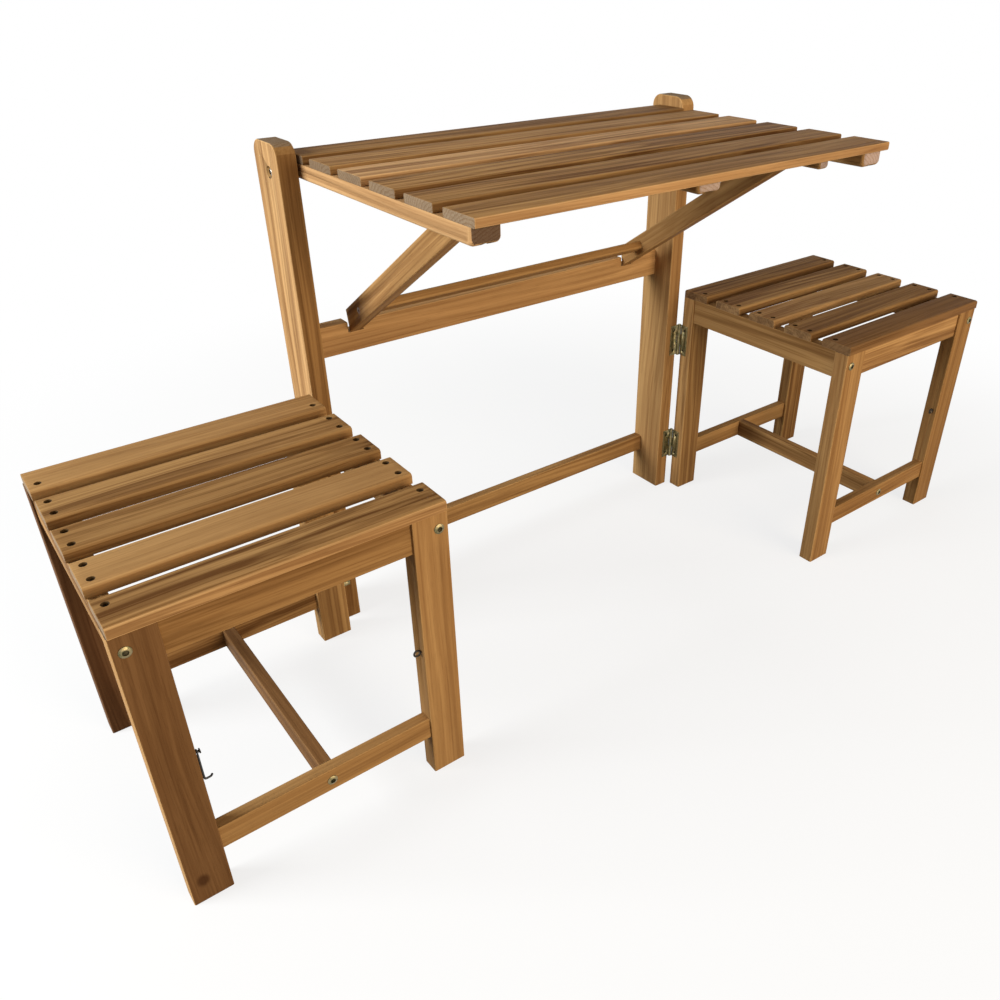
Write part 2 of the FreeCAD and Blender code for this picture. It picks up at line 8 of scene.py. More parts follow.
import bmesh
import bpy
import numpy as np
from bpy.props import FloatProperty, FloatVectorProperty, PointerProperty
from mathutils import Matrix, Vector


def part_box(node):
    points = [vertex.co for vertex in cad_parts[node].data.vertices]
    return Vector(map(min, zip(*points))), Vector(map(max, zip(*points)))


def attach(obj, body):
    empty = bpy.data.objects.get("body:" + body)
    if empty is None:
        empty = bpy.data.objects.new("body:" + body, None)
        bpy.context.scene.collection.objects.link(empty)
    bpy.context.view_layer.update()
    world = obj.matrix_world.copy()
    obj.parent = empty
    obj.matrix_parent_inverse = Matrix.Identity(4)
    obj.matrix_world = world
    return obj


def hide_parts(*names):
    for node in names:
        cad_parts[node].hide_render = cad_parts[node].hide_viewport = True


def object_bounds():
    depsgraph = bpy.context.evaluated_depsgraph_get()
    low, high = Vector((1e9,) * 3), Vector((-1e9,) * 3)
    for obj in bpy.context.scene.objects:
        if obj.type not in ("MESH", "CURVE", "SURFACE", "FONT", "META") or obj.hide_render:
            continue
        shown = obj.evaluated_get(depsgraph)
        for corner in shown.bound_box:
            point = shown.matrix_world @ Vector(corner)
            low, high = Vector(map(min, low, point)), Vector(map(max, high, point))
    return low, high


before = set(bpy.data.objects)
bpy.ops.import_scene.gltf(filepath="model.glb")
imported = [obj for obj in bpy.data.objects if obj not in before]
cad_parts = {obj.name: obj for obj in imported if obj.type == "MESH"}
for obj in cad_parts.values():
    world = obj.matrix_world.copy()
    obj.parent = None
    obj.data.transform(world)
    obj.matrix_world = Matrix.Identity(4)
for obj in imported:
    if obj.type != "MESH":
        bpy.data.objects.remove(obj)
cad_low, cad_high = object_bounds()

bl_info = {
    "name": "Folding balcony table set",
    "version": (1, 0, 0),
    "blender": (4, 5, 0),
    "location": "View3D > Sidebar > Table set",
    "description": "Dresses the CAD frame of a drop-leaf table with hinged stools in wood and metal",
    "category": "Object",
}

# Names of the CAD pieces
STOOL_SIDES = ("left", "right")
FRAME_BOARDS = ("left_post", "right_post", "upper_rail", "lower_rail")
LEAF_SLATS = tuple("leaf_slat_%d" % number for number in range(1, 7))
LEAF_BOARDS = ("left_end_batten", "right_end_batten", "middle_batten", "left_prop_cleat", "right_prop_cleat")
PROP_BOARDS = ("left_prop_arm", "right_prop_arm", "prop_cross_bar")
STOOL_BOARDS = ("front_outer_leg", "front_inner_leg", "back_outer_leg", "back_inner_leg", "front_apron",
                "back_apron", "outer_side_apron", "inner_side_apron", "front_stretcher", "back_stretcher",
                "centre_stretcher")
KNOTTED_LEG = "left_stool_front_outer_leg"
HINGE_BODIES = {"post_hinge_leaves": "frame", "left_stool_hinge_leaves": "left_stool",
                "right_stool_hinge_leaves": "right_stool", "hinge_pins": "frame"}

# How each board differs, set against the photograph: how much lighter or darker than the ground
# it is, in steps of two times, how strongly it is streaked, and how much lighter or darker its sawn ends are
# The tones and end tones are in part painted light and shade, such as the darker back outer leg of the left
# stool under its seat and the darker front end of the left end batten
BOARD_LOOKS = {
    "leaf_slats": ((-0.25, 0.8, -0.35), (0.2, 0.7, -0.3), (0.6, 0.8, -0.2), (0.05, 1.0, -0.15),
                   (-0.15, 0.9, 0.0), (-0.1, 0.6, 0.0)),
    "left_seat_slats": ((0.15, 0.3, 0.2), (0.0, 0.7, 0.2), (-0.2, 0.8, 0.2), (0.2, 0.2, 0.2),
                        (-0.05, 1.0, 0.2)),
    "right_seat_slats": ((-0.45, 0.8, -0.5), (-0.05, 0.8, 0.0), (0.3, 0.6, -0.2), (-0.25, 0.6, -0.2),
                         (-0.8, 0.5, -0.6)),
    "left_post": ((0.12, 0.6, 0.0),),
    "right_post": ((0.25, 0.4, 0.0),),
    "upper_rail": ((0.4, 0.3, 0.0),),
    "lower_rail": ((0.1, 0.5, 0.0),),
    "left_end_batten": ((0.6, 0.3, -0.9),),
    "right_end_batten": ((0.2, 0.3, 0.9),),
    "middle_batten": ((0.1, 0.3, 0.8),),
    "right_prop_cleat": ((0.0, 0.3, 0.9),),
    "left_prop_arm": ((0.15, 0.6, 0.3),),
    "right_prop_arm": ((0.0, 0.4, 0.0),),
    "prop_cross_bar": ((0.0, 0.3, 0.0),),
    "left_stool_front_outer_leg": ((-0.95, 0.3, 0.0),),
    "left_stool_front_inner_leg": ((0.2, 0.3, 0.0),),
    "left_stool_back_outer_leg": ((-1.3, 0.5, 0.0),),
    "left_stool_front_apron": ((-0.05, 0.4, 0.0),),
    "left_stool_front_stretcher": ((0.05, 0.3, 0.0),),
    "left_stool_centre_stretcher": ((-0.9, 0.4, 0.0),),
    "right_stool_front_apron": ((0.3, 0.7, 0.0),),
    "right_stool_front_inner_leg": ((0.15, 0.4, 0.0),),
    "right_stool_front_outer_leg": ((-0.05, 0.4, 0.0),),
    "right_stool_inner_side_apron": ((0.0, 0.5, 0.0),),
    "right_stool_back_inner_leg": ((0.15, 0.5, 0.0),),
}

# Painted light and shade: sides that are painted lighter or darker than the rest of their board, where more
# or
# less light falls on them: the board, its number among its like from the back, the way that the side faces,
# and how much lighter it is painted, in steps of two times
PAINTED_SIDE_LIGHT = (
    ("leaf_slats", 5, (0.0, -1.0, 0.0), 0.65),
    ("left_seat_slats", 4, (0.0, -1.0, 0.0), 0.5),
    ("left_stool_front_outer_leg", 0, (-1.0, 0.0, 0.0), 1.2),
    ("left_stool_front_inner_leg", 0, (-1.0, 0.0, 0.0), -0.6),
    ("left_post", 0, (-1.0, 0.0, 0.0), 0.35),
    ("left_post", 0, (0.0, -1.0, 0.0), -0.35),
)

# Boards whose sawn ends are brought nearly to the colour of their sides, and how much sawn colour is left
SAWN_COLOUR_KEPT = {"right_seat_slats": 0.35}

# Ranges for a board with no look of its own, and where the tree's heart lies from a board, in metres
CHANCE_TONE = (-0.25, 0.2)
CHANCE_FIGURE = (0.2, 0.9)
HEART_ASIDE = (0.015, 0.06)
HEART_BELOW = (0.012, 0.05)
TRUNK_START = (1.0, 20.0)

# A face this square to the board's length is a sawn end, one less square than this to every axis is an eased
# edge, and one this square to a side's way belongs to that side
END_TURN = 0.8
EDGE_TURN = 0.97
SIDE_TURN = 0.6

# Marks in the wood: how often each changes along a board and across it, per metre, and its fine detail
DRIFT = (1.7, 6.0, 1.0)
RIPPLE = (4.0, 120.0, 2.0)
BANDS = (0.9, 48.0, 2.0)
STREAKS = (1.3, 150.0, 2.0)
LINES = (2.4, 420.0, 2.0)
FIBRES = (8.0, 650.0, 3.0)
PATCHES = (2.2, 14.0, 2.0)
PORES = (38.0, 1500.0, 1.0)
SPECKLE_SCALE = 700.0

# Where each mark sets in and where it is full
LATE_WOOD_RISE = (0.45, 0.95)
RING_END = (0.95, 1.0)
BAND_RISE = (0.47, 0.6)
STREAK_FALL = (0.56, 0.42)
LINE_FALL = (0.48, 0.34)
PORE_RISE = (0.62, 0.7)
SPECKLE_RISE = (0.25, 0.75)

# How far the rings wander, in metres, and how much they ripple
RING_DRIFT = 0.05
RING_RIPPLE = 0.9

# How much of the streaks a plain board keeps
PLAIN_FIGURE = 0.3

# How much pale wood there is all over and by each mark
GOLD_ALL_OVER = 0.35
GOLD_PATCHES = 1.2
GOLD_FIBRES = 0.35
GOLD_STREAKS = 1.7
GOLD_LINES = 0.7

# How dark each mark is, how pale the painted highlight on the eased edges is, and how strong the sawn ends
# and the painted shade in the drilled holes show
DARK_BANDS = 0.62
DARK_STREAKS = 0.4
DARK_LINES = 0.28
DARK_RINGS = 0.12
DARK_PORES = 0.15
EDGE_HIGHLIGHT = 0.2
EDGE_FIBRES = 0.4
SAWN_RINGS = 0.3
SAWN_SPECKLE = 0.42
SAWN_SHARE = 0.9
HOLE_SHADE = 0.8

# One step of tone, and how much faster green and blue change with it than red does: darker boards are redder,
# though less so the further they are from the ground
TONE_STEP = 2.0
GREEN_SHIFT = 1.15
BLUE_SHIFT = 1.4
BLUE_CURVE = 0.35

# Gloss and relief of the wood
WOOD_SPECULAR = 0.02
ROUGH_FIBRES = 0.2
ROUGH_ENDS = 0.2
ROUGH_PORES = 0.1
RELIEF_FIBRES = 0.6
RELIEF_RINGS = 0.2
RELIEF_PORES = 0.8
WOOD_RELIEF = 0.0003
BUMP_STRENGTH = 0.5
NOISE_ROUGHNESS = 0.55
NOISE_MIDDLE = 0.5

# A dark knot low on the front face of one leg: its place, its outline and its depth of colour
KNOT_INSET = 0.017
KNOT_HEIGHT = 0.034
KNOT_SQUASH = (1.0, 1.0, 0.8)
KNOT_RIPPLE = 0.004
KNOT_RISE = (0.0105, 0.0035)
KNOT_DARK = 0.85

# Plated metal: the size of its patches, specks and scratches, what they do to colour and gloss, and the
# painted shade and roughness in the sockets
PATINA_SCALE = 160.0
PATINA_EDGE = 0.18
SPECK_SCALE = 900.0
SPECK_SHARE = 0.5
SCRATCH_TURN = (0.4, 0.2, 0.6)
SCRATCH_SCALE = (2500.0, 2500.0, 120.0)
SCRATCH_RISE = (0.62, 0.72)
SCRATCH_GLOSS = 0.08
DULL_ROUGH = 0.22
RECESS_SHADE = 0.75
RECESS_ROUGH = 0.2
METAL_RELIEF = 0.00006

# Paint on steel: how it is rubbed and how rough it is
RUB_SCALE = 260.0
RUB_RISE = (0.6, 0.72)
RUB_COLOUR = 0.6
RUB_METAL = 0.7
RUB_GLOSS = 0.1
PAINT_ROUGHNESS = 0.42
GRIT_SCALE = 1400.0
PAINT_RELIEF = 0.00004

# Clean meshes: how near points are to be one, how flat faces are to be joined, how sharp edges are to be
# eased or to stay sharp in the shading, and the shape of the eased edges
MERGE = 2e-6
WIRE_MERGE = 1e-6
FLAT_ANGLE = math.radians(0.5)
SHARP_ANGLE = math.radians(50)
SMOOTH_ANGLE = math.radians(40)
SHORTEST_EASED = 3.0
EASED_STEPS = 2
EASED_PROFILE = 0.6
ROUND_PROFILE = 0.5
LONG_EDGE_STEPS = 5
LENGTHWISE = 1e-4
HINGE_ROUNDING = 0.0003

# Drill of a seat hole as radius and height, bottom to top, and the space whose faces count as its inside
SEAT_DRILL = ((0.004, -0.005), (0.004, -0.0006), (0.0046, 0.0001), (0.0046, 0.001))
HOLE_REACH = 0.0047
HOLE_TOP = 0.0002
HOLE_BOTTOM = 0.0055

# Fasteners: height of the head, radius of the shank, shape of the head and sides of its socket
Fastener = namedtuple("Fastener", "head_height shank_radius style socket_sides")
CROSS = 2
HEX = 6
WOOD_SCREW = Fastener(0.0022, 0.002, "pan", CROSS)
HINGE_SCREW = Fastener(0.0017, 0.0017, "countersunk", CROSS)
ARM_SCREW = Fastener(0.0025, 0.0025, "countersunk", CROSS)
STOOL_BOLT = Fastener(0.0025, 0.003, "button", HEX)
LEAF_PIVOT_BOLT = Fastener(0.005, 0.004, "button", HEX)
PROP_PIVOT_BOLT = Fastener(0.003, 0.003, "button", HEX)

# A fastener found in a CAD node: the middle of its head's top, the way it faces, its length and widest radius
Found = namedtuple("Found", "top way length radius")

# How near to the widest radius a point is on the head's rim, how upright a screw of a seat stands, and the
# tenths of a millimetre in a metre, by which screws of one length are told
WIDEST = 2e-5
UPRIGHT = 0.5
TENTHS = 10000

# Turned shape of a fastener, as shares of its radii or in metres, and its socket as shares of the head
TURN_STEPS = 20
TIP_RADIUS = 0.35
TIP_LENGTH = 2.0
NECK = 0.0002
RIM = 0.0003
DOME_RISE = 0.75
DOME_ANGLES = (10, 35, 60, 78)
SOCKET_WIDTH = 0.5
SOCKET_DEPTH = 0.5
SLOT_WIDTH = 0.5
SOCKET_EDGE = 1.02

# Hooks: the wire, the loop round its screw with the angles of its points, the shank's points below the loop,
# and the tip's points out from the shank and up from the foot
HOOK_WIRE = 0.0013
HOOK_LOOP = 0.00266
HOOK_LOOP_WIRE = 0.00092
HOOK_INSET = 0.0015
HOOK_TURN = 30
HOOK_TURNS = range(40, 345, HOOK_TURN)
HOOK_NECK = (HOOK_LOOP + 0.0022, 0.012)
HOOK_TIP = ((0.0, 0.012), (0.0, 0.003), (0.0008, 0.0), (0.0045, 0.0), (0.0082, 0.0004), (0.009, 0.0028))
WIRE_STEPS = 6
WIRE_ROUNDNESS = 4

# Stage: the floor's size, where it fades to plain white and how much of its shading shows, and the camera
FLOOR_SIZE = 12.0
FLOOR_FADE = (1.8, 0.7)
FLOOR_SHADE = 0.22
WHITE = (1.0, 1.0, 1.0, 1.0)
SENSOR_WIDTH = 36.0
CLIP_START = 0.05

# What every colour setting shares
COLOUR = {"subtype": "COLOR", "size": 3, "min": 0.0, "max": 1.0}


class WoodSettings(bpy.types.PropertyGroup):
    pale: FloatVectorProperty(
        name="Pale wood", description="Colour of the early wood between the growth rings",
        default=(0.485, 0.28, 0.106), **COLOUR)
    ground: FloatVectorProperty(
        name="Ground", description="Main colour of the oiled wood", default=(0.325, 0.166, 0.057), **COLOUR)
    dark: FloatVectorProperty(
        name="Dark streaks", description="Colour of the late wood and the dark streaks",
        default=(0.125, 0.053, 0.016), **COLOUR)
    end_grain: FloatVectorProperty(
        name="End grain", description="Colour of sawn ends", default=(0.29, 0.215, 0.14), **COLOUR)
    ring_spacing: FloatProperty(
        name="Ring spacing", description="Distance between growth rings",
        unit="LENGTH", min=0.001, max=0.03, default=0.0045)
    edge_rounding: FloatProperty(
        name="Edge rounding", description="How far the sharp edges of boards are eased",
        unit="LENGTH", min=0.0002, max=0.003, default=0.0009)
    leaf_rounding: FloatProperty(
        name="Leaf slat rounding", description="Radius of the long edges of the table slats",
        unit="LENGTH", min=0.0005, max=0.005, default=0.002)
    seat_rounding: FloatProperty(
        name="Seat slat rounding", description="Radius of the upper long edges of the seat slats",
        unit="LENGTH", min=0.0005, max=0.006, default=0.004)
    roughness: FloatProperty(
        name="Roughness", description="Roughness of the oiled surface",
        subtype="FACTOR", min=0.0, max=1.0, default=0.56)
    arm_slope: FloatProperty(
        name="Prop arm slope", description="Angle of the prop arms below level",
        subtype="ANGLE", default=math.radians(33.659))


class MetalSettings(bpy.types.PropertyGroup):
    brass: FloatVectorProperty(
        name="Brass", description="Colour of the hinges and bolts", default=(0.33, 0.255, 0.13), **COLOUR)
    patina: FloatVectorProperty(
        name="Patina", description="Colour of the dulled patches on brass",
        default=(0.12, 0.115, 0.055), **COLOUR)
    zinc: FloatVectorProperty(
        name="Zinc", description="Colour of the plated bolts and screws", default=(0.52, 0.5, 0.45), **COLOUR)
    # Dark steel of the screw eyes, also put on the seat screws as painted shade at the bottom of their holes
    dark_screw: FloatVectorProperty(
        name="Dark screw", description="Colour of the screws at the bottom of their holes",
        default=(0.09, 0.075, 0.06), **COLOUR)
    black: FloatVectorProperty(
        name="Black hook", description="Colour of the hooks", default=(0.016, 0.015, 0.014), **COLOUR)
    brown: FloatVectorProperty(
        name="Brown paint", description="Colour of the screw heads in the prop arms",
        default=(0.24, 0.12, 0.045), **COLOUR)
    bolt_head: FloatProperty(
        name="Bolt head", description="Radius of the heads of the stool bolts",
        unit="LENGTH", min=0.004, max=0.01, default=0.0068)


class StageSettings(bpy.types.PropertyGroup):
    floor: FloatVectorProperty(
        name="Floor", description="Colour of the floor", default=(0.9, 0.9, 0.89), **COLOUR)
    floor_bounce: FloatVectorProperty(
        name="Floor bounce", description="Colour of the light that the floor throws back on the object",
        default=(0.2, 0.195, 0.19), **COLOUR)
    camera_place: FloatVectorProperty(
        name="Camera place", description="Where the camera stands",
        subtype="TRANSLATION", size=3, default=(-0.8242, -0.98071, 0.95981))
    camera_view: FloatVectorProperty(
        name="Camera view", description="The way the camera looks",
        subtype="DIRECTION", size=3, default=(0.5227, 0.67455, -0.52131))
    focal_length: FloatProperty(
        name="Focal length", description="Lens of the camera, in millimetres",
        min=10.0, max=200.0, default=31.963)
    shift_x: FloatProperty(name="Shift X", description="Sideways shift of the frame", default=-0.05034)
    shift_y: FloatProperty(name="Shift Y", description="Upward shift of the frame", default=-0.00117)
    side_place: FloatVectorProperty(
        name="Side light place", description="Where the large light at the left stands",
        subtype="TRANSLATION", size=3, default=(-3.6, 0.9, 1.7))
    side_size: FloatProperty(
        name="Side light size", description="Width of the large light at the left",
        unit="LENGTH", min=0.1, default=2.0)
    side_power: FloatProperty(
        name="Side light", description="Power of the large light at the left",
        unit="POWER", min=0.0, default=200.0)
    side_colour: FloatVectorProperty(
        name="Side light colour", description="Colour of the large light at the left",
        default=(0.93, 0.97, 1.0), **COLOUR)
    front_place: FloatVectorProperty(
        name="Front light place", description="Where the broad light in front stands",
        subtype="TRANSLATION", size=3, default=(0.6, -3.6, 1.2))
    front_size: FloatProperty(
        name="Front light size", description="Width of the broad light in front",
        unit="LENGTH", min=0.1, default=2.4)
    front_power: FloatProperty(
        name="Front light", description="Power of the broad light in front",
        unit="POWER", min=0.0, default=125.0)
    front_colour: FloatVectorProperty(
        name="Front light colour", description="Colour of the broad light in front",
        default=(1.0, 0.83, 0.62), **COLOUR)
    fill: FloatProperty(
        name="Fill", description="Strength of the even light from all round", min=0.0, default=0.25)


class Value:
    """A socket that Python expressions can add, take away, multiply, divide and raise."""

    def __init__(self, nodes, socket):
        self.nodes = nodes
        self.socket = socket

    def other(self, name):
        """Another output of the same node."""
        return Value(self.nodes, self.socket.node.outputs[name])

    def math(self, operation, first, second=0.0):
        return self.nodes.node("ShaderNodeMath", {"operation": operation}, {0: first, 1: second})

    def __add__(self, amount):
        return self.math("ADD", self, amount)

    def __radd__(self, amount):
        return self.math("ADD", amount, self)

    def __sub__(self, amount):
        return self.math("SUBTRACT", self, amount)

    def __rsub__(self, amount):
        return self.math("SUBTRACT", amount, self)

    def __mul__(self, amount):
        return self.math("MULTIPLY", self, amount)

    def __truediv__(self, amount):
        return self.math("DIVIDE", self, amount)

    def __pow__(self, amount):
        return self.math("POWER", self, amount)

    def __rpow__(self, amount):
        return self.math("POWER", amount, self)

    def fraction(self):
        return self.math("FRACT", self)

    def swing(self):
        """A noise about its middle."""
        return self - NOISE_MIDDLE

    def stepped(self, low, high):
        """0 below low and 1 above high, with a smooth rise between; low above high turns it round."""
        return self.nodes.node("ShaderNodeMapRange", {"interpolation_type": "SMOOTHSTEP"},
                               {0: self, 1: low, 2: high, 3: 0.0, 4: 1.0})


class Nodes:
    """A node tree under construction; every node comes from its node method."""

    def __init__(self, tree):
        self.tree = tree

    def node(self, kind, settings, inputs, output=0):
        made = self.tree.nodes.new(kind)
        for name, setting in settings.items():
            setattr(made, name, setting)
        for key, value in inputs.items():
            if isinstance(value, Value):
                self.tree.links.new(value.socket, made.inputs[key])
            else:
                made.inputs[key].default_value = value
        return Value(self, made.outputs[output]) if made.outputs else made

    def attribute(self, name, output="Fac"):
        return self.node("ShaderNodeAttribute", {"attribute_name": name}, {}, output)

    def object_place(self):
        return self.node("ShaderNodeTexCoord", {}, {}, "Object")

    def vector(self, x, y, z):
        return self.node("ShaderNodeCombineXYZ", {}, {0: x, 1: y, 2: z})

    def vector_math(self, operation, first, second):
        return self.node("ShaderNodeVectorMath", {"operation": operation}, {0: first, 1: second})

    def length(self, vector):
        return self.node("ShaderNodeVectorMath", {"operation": "LENGTH"}, {0: vector}, "Value")

    def noise(self, place, detail, scale=1.0, output="Fac"):
        return self.node("ShaderNodeTexNoise", {}, {"Vector": place, "Scale": scale, "Detail": detail,
                                                    "Roughness": NOISE_ROUGHNESS}, output)

    def mix(self, factor, first, second):
        """A colour between two colours."""
        settings = {"data_type": "RGBA", "blend_type": "MIX", "clamp_factor": True}
        ends = [colour if isinstance(colour, Value) else (*colour, 1.0) for colour in (first, second)]
        return self.node("ShaderNodeMix", settings, {0: factor, 6: ends[0], 7: ends[1]}, 2)

    def brightened(self, colour, amount):
        """A colour times a value."""
        return self.node("ShaderNodeVectorMath", {"operation": "SCALE"}, {0: colour, "Scale": amount})

    def seen_directly(self):
        """1 for rays from the camera, off gloss or through glass, and 0 for light on the object."""
        path = self.node("ShaderNodeLightPath", {}, {}, "Is Camera Ray")
        return path.math("MAXIMUM", path, path.other("Is Glossy Ray") + path.other("Is Transmission Ray"))


class Finish(Nodes):
    """The nodes of one material."""

    def __init__(self, name):
        self.material = bpy.data.materials.new(name)
        self.material.use_nodes = True
        super().__init__(self.material.node_tree)
        self.tree.nodes.clear()

    def surface(self, values, bump_height, bump_depth):
        """Ends the material in one shader with a bump."""
        bump = self.node("ShaderNodeBump", {}, {"Strength": BUMP_STRENGTH, "Distance": bump_depth,
                                                "Height": bump_height})
        shader = self.node("ShaderNodeBsdfPrincipled", {}, {**values, "Normal": bump})
        self.node("ShaderNodeOutputMaterial", {}, {"Surface": shader})
        return self.material


# Finishes
def wood_finish(name, knot_place=None):
    """Oiled wood with streaks, growth lines, fibres, pores, sawn ends, painted shade in drilled holes and a
    painted highlight on eased edges.
    """
    wood = bpy.context.scene.table_set_wood
    finish = Finish(name)
    grain = finish.attribute("grain", "Vector")
    along = finish.node("ShaderNodeSeparateXYZ", {}, {0: grain})
    across, deep = along.other("Y"), along.other("Z")
    labels = ("tone", "figure", "end", "edge", "hole")
    tone, figure, end, edge, hole = [finish.attribute(label) for label in labels]

    def marks(kind, side=across, depth=deep, output="Fac"):
        stretch, fineness, detail = kind
        place = finish.vector(along * stretch, side * fineness, depth * fineness)
        return finish.noise(place, detail, output=output)

    # Growth rings that wander along the board, and the marks that run with them
    drift = finish.node("ShaderNodeSeparateXYZ", {}, {0: marks(DRIFT, output="Color")})
    ring_x = across + drift.swing() * RING_DRIFT
    ring_y = deep + drift.other("Y").swing() * RING_DRIFT
    ring_radius = (ring_x * ring_x + ring_y * ring_y) ** 0.5
    ripple = marks(RIPPLE)
    ring = (ring_radius / wood.ring_spacing + ripple * RING_RIPPLE).fraction()
    late_wood = ring.stepped(*LATE_WOOD_RISE) - ring.stepped(*RING_END)
    bands = marks(BANDS, ring_x, ring_y)
    streaks = marks(STREAKS, ring_x, ring_y)
    lines, fibres, patches = marks(LINES), marks(FIBRES), marks(PATCHES)
    pores = marks(PORES).stepped(*PORE_RISE)
    speckle = finish.noise(grain, detail=2.0, scale=SPECKLE_SCALE).stepped(*SPECKLE_RISE)

    # Colour, from pale and dark wood to the sawn ends, the knot and the tone of the board, which is in part
    # painted light and shade
    liveliness = PLAIN_FIGURE + figure * (1.0 - PLAIN_FIGURE)
    gold = GOLD_ALL_OVER + patches.swing() * GOLD_PATCHES + fibres.swing() * GOLD_FIBRES
    gold = gold + (streaks.swing() * GOLD_STREAKS + lines.swing() * GOLD_LINES) * liveliness
    colour = finish.mix(gold, wood.ground, wood.pale)
    figured = bands.stepped(*BAND_RISE) * DARK_BANDS + streaks.stepped(*STREAK_FALL) * DARK_STREAKS
    lined = lines.stepped(*LINE_FALL) * DARK_LINES + late_wood * DARK_RINGS
    colour = finish.mix(figured * figure + lined * liveliness + pores * DARK_PORES, colour, wood.dark)
    # Eased edges are paled as a painted highlight where the rounded edges catch the light
    colour = finish.mix(edge * (EDGE_HIGHLIGHT + fibres * EDGE_FIBRES), colour, wood.pale)
    sawn = finish.mix(late_wood * SAWN_RINGS + speckle * SAWN_SPECKLE, wood.end_grain, wood.dark)
    colour = finish.mix(end * SAWN_SHARE, colour, sawn)
    if knot_place:
        offset = finish.vector_math("SUBTRACT", finish.object_place(), knot_place)
        distance = finish.length(finish.vector_math("MULTIPLY", offset, KNOT_SQUASH))
        knot = (distance + ripple.swing() * KNOT_RIPPLE).stepped(*KNOT_RISE)
        colour = finish.mix(knot * KNOT_DARK, colour, wood.dark)
    blue = tone * (BLUE_SHIFT + tone * BLUE_CURVE)
    tint = finish.vector(TONE_STEP ** tone, TONE_STEP ** (tone * GREEN_SHIFT), TONE_STEP ** blue)
    # Faces inside the drilled holes are darkened as painted shade
    colour = finish.brightened(finish.vector_math("MULTIPLY", colour, tint), 1.0 - hole * HOLE_SHADE)
    roughness = wood.roughness + fibres.swing() * ROUGH_FIBRES + end * ROUGH_ENDS + pores * ROUGH_PORES
    height = fibres * RELIEF_FIBRES - late_wood * RELIEF_RINGS - pores * RELIEF_PORES
    values = {"Base Color": colour, "Roughness": roughness, "Specular IOR Level": WOOD_SPECULAR}
    return finish.surface(values, height, WOOD_RELIEF)


def metal_finish(name, bright, dull, dulled, roughness):
    """Plated metal with dulled patches, fine scratches, small pits and painted shade in its sockets."""
    finish = Finish(name)
    place = finish.object_place()
    patches = finish.noise(place, detail=4.0, scale=PATINA_SCALE)
    specks = finish.noise(place, detail=2.0, scale=SPECK_SCALE)
    turned = finish.node("ShaderNodeMapping", {}, {"Vector": place, "Rotation": SCRATCH_TURN,
                                                   "Scale": SCRATCH_SCALE})
    scratches = finish.noise(turned, detail=1.0).stepped(*SCRATCH_RISE)
    clean = (patches + specks.swing() * SPECK_SHARE).stepped(dulled - PATINA_EDGE, dulled + PATINA_EDGE)
    recess = finish.attribute("recess")
    # Socket faces are darkened as painted shade
    colour = finish.brightened(finish.mix(clean, dull, bright), 1.0 - recess * RECESS_SHADE)
    rough = roughness + (1.0 - clean) * DULL_ROUGH - scratches * SCRATCH_GLOSS + recess * RECESS_ROUGH
    values = {"Base Color": colour, "Roughness": rough, "Metallic": 1.0}
    return finish.surface(values, specks * SPECK_SHARE + scratches, METAL_RELIEF)


def painted_finish(name, paint, wear):
    """Lacquered steel, rubbed to a dull metal in places."""
    finish = Finish(name)
    place = finish.object_place()
    rubbed = finish.noise(place, detail=3.0, scale=RUB_SCALE).stepped(*RUB_RISE) * wear
    colour = finish.mix(rubbed * RUB_COLOUR, paint, bpy.context.scene.table_set_metal.patina)
    values = {"Base Color": colour, "Roughness": PAINT_ROUGHNESS - rubbed * RUB_GLOSS,
              "Metallic": rubbed * RUB_METAL}
    grit = finish.noise(place, detail=2.0, scale=GRIT_SCALE)
    return finish.surface(values, grit, PAINT_RELIEF)


@functools.cache
def finish_named(name):
    """The finish of that name, made on its first use; any name but these is a wood."""
    metal = bpy.context.scene.table_set_metal
    if name == "brass":
        return metal_finish("aged_brass", metal.brass, metal.patina, dulled=0.5, roughness=0.34)
    if name == "steel":
        return metal_finish("plated_zinc", metal.zinc, metal.patina, dulled=0.4, roughness=0.3)
    # Dark steel: the screw eyes' own colour, and painted shade on the seat screws deep in their holes
    if name == "dark_screw":
        return metal_finish("dark_screw_steel", metal.dark_screw, metal.black, dulled=0.5, roughness=0.45)
    if name == "black_steel":
        return painted_finish("black_steel", metal.black, wear=1.0)
    if name == "brown_paint":
        return painted_finish("brown_paint", metal.brown, wear=0.1)
    if name == "knotted_leg":
        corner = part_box(KNOTTED_LEG)[0]
        return wood_finish("knotted_leg_wood", (corner.x + KNOT_INSET, corner.y, KNOT_HEIGHT))
    return wood_finish(name)


def dress(mesh, finish):
    mesh.materials.clear()
    mesh.materials.append(finish_named(finish))


# Meshes
def new_object(name, mesh):
    piece = bpy.data.objects.new(name, mesh)
    bpy.context.scene.collection.objects.link(piece)
    return piece


def mesh_from(name, shape):
    mesh = bpy.data.meshes.new(name)
    shape.to_mesh(mesh)
    shape.free()
    return mesh


def shape_of(mesh):
    shape = bmesh.new()
    shape.from_mesh(mesh)
    return shape


def result_of(holder):
    """The mesh of an object with its modifiers or its bevel applied; the object is removed."""
    bpy.context.view_layer.update()
    depsgraph = bpy.context.evaluated_depsgraph_get()
    mesh = bpy.data.meshes.new_from_object(holder.evaluated_get(depsgraph), depsgraph=depsgraph)
    bpy.data.objects.remove(holder)
    return mesh


def smoothed(mesh):
    mesh.shade_smooth()
    mesh.set_sharp_from_angle(angle=SMOOTH_ANGLE)


def stand_in(name, mesh, nodes, body):
    """Puts a finished mesh in the scene in the place of its CAD nodes."""
    piece = new_object(name, mesh)
    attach(piece, body)
    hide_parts(*nodes)


def merge_points(shape, distance=MERGE):
    bmesh.ops.remove_doubles(shape, verts=shape.verts, dist=distance)


